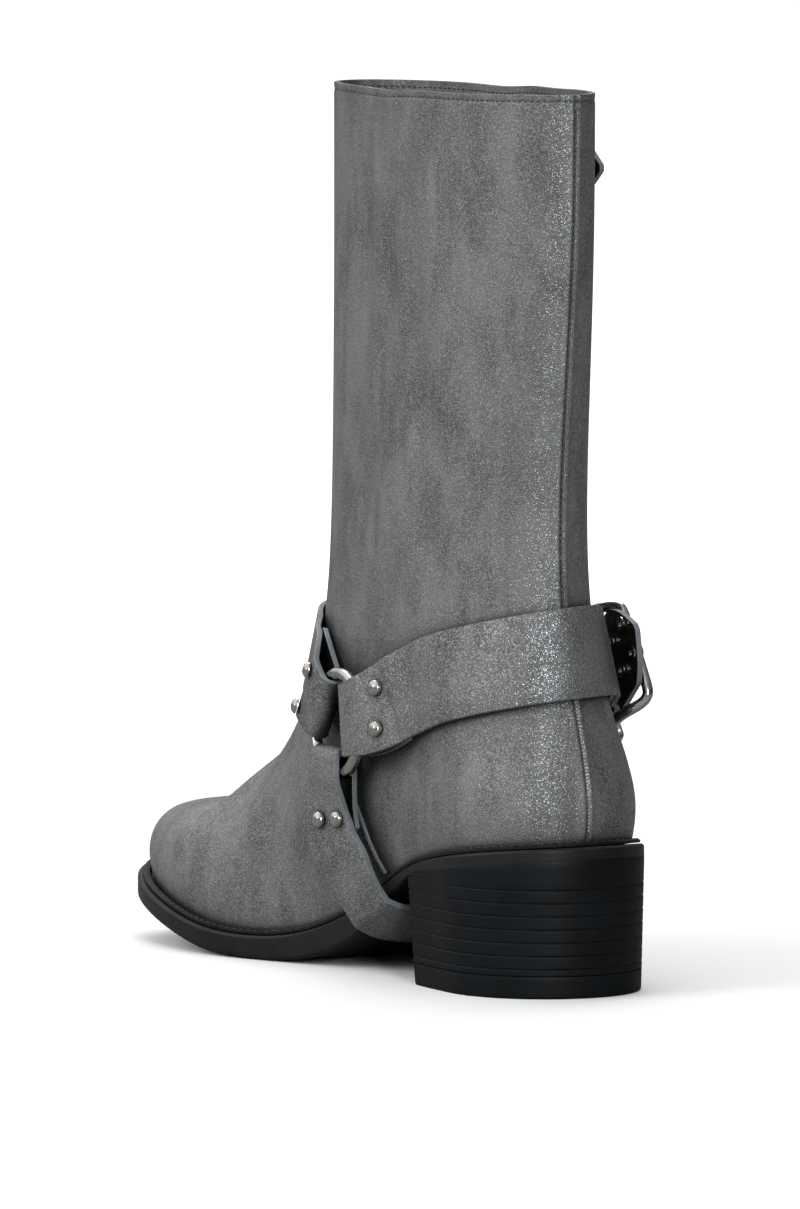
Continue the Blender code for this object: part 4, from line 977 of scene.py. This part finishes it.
back_line = on_surface(upper_tree, behind_boot(BACK_EDGE)[shaft], ahead[shaft], BACK_SINK * MM)
seam_bead("back_seam_edge", back_line, BACK_BEAD * MM, UPPER_LEATHER)
shares = np.linspace(0.0, 1.0, VAMP_STATIONS)
stations = np.linspace(0.0, 1.0, len(VAMP_EDGE))
edge_y, edge_z = [np.interp(shares, stations, column) * MM for column in np.array(VAMP_EDGE).T]
for side, sign in (("inner", -1.0), ("outer", 1.0)):
    beside = np.column_stack((np.full(len(shares), FAR_BESIDE * sign), edge_y, edge_z))
    inward = np.tile((-sign, 0.0, 0.0), (len(shares), 1))
    vamp_line = on_surface(upper_tree, beside, inward, VAMP_SINK * MM)
    seam_bead("vamp_edge_" + side, vamp_line, VAMP_BEAD * MM, SEAM_CORD)

# %% [markdown]
# ## Stitches of the welt
# The welt is sewn to the sole by a row of long stitches on its top. The row follows the middle of the
# welt's upper faces, found by their bearing from a point inside the boot.

# %% Row on the welt
WELT_STITCH = (3.2, 2.4, 0.7)
WELT_TOP = 0.75
WELT_BINS = 160
WELT_MIDDLE = (0.0, 100.0 * MM)
welt = bpy.data.objects["stitched_welt"]
welt_tree = surface_tree(welt)
tops = np.array([face.center for face in welt.data.polygons if face.normal.z > WELT_TOP])
bearing = np.arctan2(tops[:, 0] - WELT_MIDDLE[0], tops[:, 1] - WELT_MIDDLE[1])
bins = np.floor((bearing + math.pi) / (2.0 * math.pi) * WELT_BINS).astype(int)
welt_line = np.array([tops[bins == k].mean(axis=0) for k in range(WELT_BINS) if np.any(bins == k)])
step, length, thick = (size * MM for size in WELT_STITCH)
places, along = spaced(welt_line, step, True)
nearest = [welt_tree.find_nearest(Vector(place)) for place in places]
places, normals = [[np.array(found[k]) for found in nearest] for k in range(2)]
stitch_row("welt_stitches", places, along, normals, length, thick, BLACK_THREAD, "welt_leather")

# %% [markdown]
# ## Camera
# The camera has the photo's place: behind the boot on its inner side, just above the floor and far
# away. Its lens follows from that distance and from how much of the boot one pixel covers.

# %% Camera
VIEW_TURN, VIEW_RISE, VIEW_FAR = math.radians(31.0), math.radians(6.2), 5.0
PIXEL = 0.328 * MM
IMAGE = (800, 1209)
ORIGIN_AT = (544.0, 989.0)
SENSOR = 36.0
SIGHT = 60.0
FOCAL = VIEW_FAR / PIXEL

toward_camera = Vector((-math.sin(VIEW_TURN) * math.cos(VIEW_RISE),
                        -math.cos(VIEW_TURN) * math.cos(VIEW_RISE),
                        math.sin(VIEW_RISE)))
view_right = Vector((math.cos(VIEW_TURN), -math.sin(VIEW_TURN), 0.0))
view_up = toward_camera.cross(view_right)
aside = (IMAGE[0] / 2 - ORIGIN_AT[0]) * PIXEL
above = (ORIGIN_AT[1] - IMAGE[1] / 2) * PIXEL
target = view_right * aside + view_up * above

camera = bpy.data.objects.new("camera", bpy.data.cameras.new("camera"))
bpy.context.scene.collection.objects.link(camera)
camera.data.sensor_width = SENSOR
camera.data.lens = FOCAL * SENSOR / IMAGE[1]
camera.data.clip_end = SIGHT
camera.location = VIEW_FAR * toward_camera
camera.rotation_mode = "QUATERNION"
camera.rotation_quaternion = (target - camera.location).to_track_quat("-Z", "Y")
bpy.context.scene.camera = camera
print("camera lens %.0f mm" % camera.data.lens)

# %% [markdown]
# ## Floor
# The boot stands on a pale floor. It is grey to everything but the camera, so that it doesn't light the
# boot from below, and it glows far from the boot, so that it runs into a white background.

# %% Pale floor
FLOOR_SIZE = 24.0
FLOOR_SEEN, FLOOR_UNSEEN = 0.93, 0.2
FLOOR_ROUGHNESS = 0.7
GLOW_FROM, GLOW_FULL, GLOW = 0.4, 1.6, 0.6

bpy.ops.object.select_all(action="DESELECT")
bpy.ops.mesh.primitive_plane_add(size=FLOOR_SIZE)
floor = bpy.context.object
floor.name = "studio_floor"
floor_finish, floor_tree, floor_shader = new_material("pale_floor")
seen = add_node(floor_tree, "ShaderNodeLightPath").outputs["Is Camera Ray"]
floor_colour = blend(floor_tree, seen, grey(FLOOR_UNSEEN), grey(FLOOR_SEEN))
floor_tree.links.new(floor_colour, floor_shader.inputs["Base Color"])
floor_shader.inputs["Roughness"].default_value = FLOOR_ROUGHNESS
floor_place = add_node(floor_tree, "ShaderNodeTexCoord").outputs["Object"]
floor_reach = add_node(floor_tree, "ShaderNodeVectorMath")
floor_reach.operation = "LENGTH"
floor_tree.links.new(floor_place, floor_reach.inputs[0])
far_glow = remap(floor_tree, floor_reach.outputs["Value"], GLOW_FROM, GLOW_FULL, 0.0, GLOW)
floor_tree.links.new(maths(floor_tree, "MULTIPLY", seen, far_glow), floor_shader.inputs["Emission Strength"])
floor_shader.inputs["Emission Color"].default_value = (1.0, 1.0, 1.0, 1.0)
floor.data.materials.append(floor_finish)
print("floor:", floor.name)

# %% [markdown]
# ## Lights
# A narrow, tall light beside the camera draws the long sheen down the back of the shaft. A broad one on
# the left lights the shaft's edge and the toe. It is hidden from reflections, because its sheen would
# cross the heel strap, so a small light near it gives the metal its glints. One behind the boot fills
# its rim.

# %% Lights
LIGHT_TARGET = Vector((0.0, 0.06, 0.14))


def soft_light(name, bearing, rise, distance, width, tall, power, colour=(1.0, 1.0, 1.0)):
    """Area light that looks at the boot from a bearing in degrees, positive to the camera's right."""
    turn, up = math.radians(bearing), math.radians(rise)
    flat = Vector((toward_camera.x, toward_camera.y, 0.0)).normalized()
    side = math.cos(turn) * flat + math.sin(turn) * view_right
    light = bpy.data.lights.new(name, "AREA")
    light.shape = "RECTANGLE"
    light.size = width
    light.size_y = tall
    light.energy = power
    light.color = colour
    item = bpy.data.objects.new(name, light)
    bpy.context.scene.collection.objects.link(item)
    item.location = LIGHT_TARGET + distance * (math.cos(up) * side + Vector((0, 0, math.sin(up))))
    item.rotation_mode = "QUATERNION"
    item.rotation_quaternion = (LIGHT_TARGET - item.location).to_track_quat("-Z", "Y")
    print(name, "%.1f W" % power)
    return item


soft_light("front_light", 12.0, 15.0, 1.6, 0.22, 0.7, 12.5, (0.95, 0.98, 1.0))
side_light = soft_light("side_light", -66.0, 22.0, 2.4, 1.6, 1.8, 30.0)
side_light.visible_glossy = False
soft_light("metal_light", -58.0, 20.0, 2.4, 0.5, 0.7, 3.5)
soft_light("back_light", 180.0, 58.0, 2.2, 1.6, 1.2, 22.0)

# %% [markdown]
# ## Sky
# The rest of the studio is a white dome that is brighter overhead than at the horizon, and brighter on
# the camera's left than on its right, as the shades of the shaft show in the photo.

# %% Sky
HORIZON, OVERHEAD = 0.2, 0.95
LEFT, RIGHT = 1.4, 0.25
RISE_RANGE = (0.05, 0.7)
SIDE_RANGE = (-0.8, 0.8)

world = bpy.data.worlds.new("studio")
bpy.context.scene.world = world
world.use_nodes = True
sky = world.node_tree
direction = add_node(sky, "ShaderNodeTexCoord").outputs["Generated"]
height = add_node(sky, "ShaderNodeSeparateXYZ")
sky.links.new(direction, height.inputs["Vector"])
across = add_node(sky, "ShaderNodeVectorMath")
across.operation = "DOT_PRODUCT"
sky.links.new(direction, across.inputs[0])
across.inputs[1].default_value = view_right
strength = maths(sky, "MULTIPLY", remap(sky, height.outputs["Z"], *RISE_RANGE, HORIZON, OVERHEAD),
                 remap(sky, across.outputs["Value"], *SIDE_RANGE, LEFT, RIGHT))
sky.links.new(strength, sky.nodes["Background"].inputs["Strength"])
sky.nodes["Background"].inputs["Color"].default_value = (1.0, 1.0, 1.0, 1.0)
bpy.context.scene.view_settings.view_transform = "Standard"
print("sky from", HORIZON, "to", OVERHEAD)
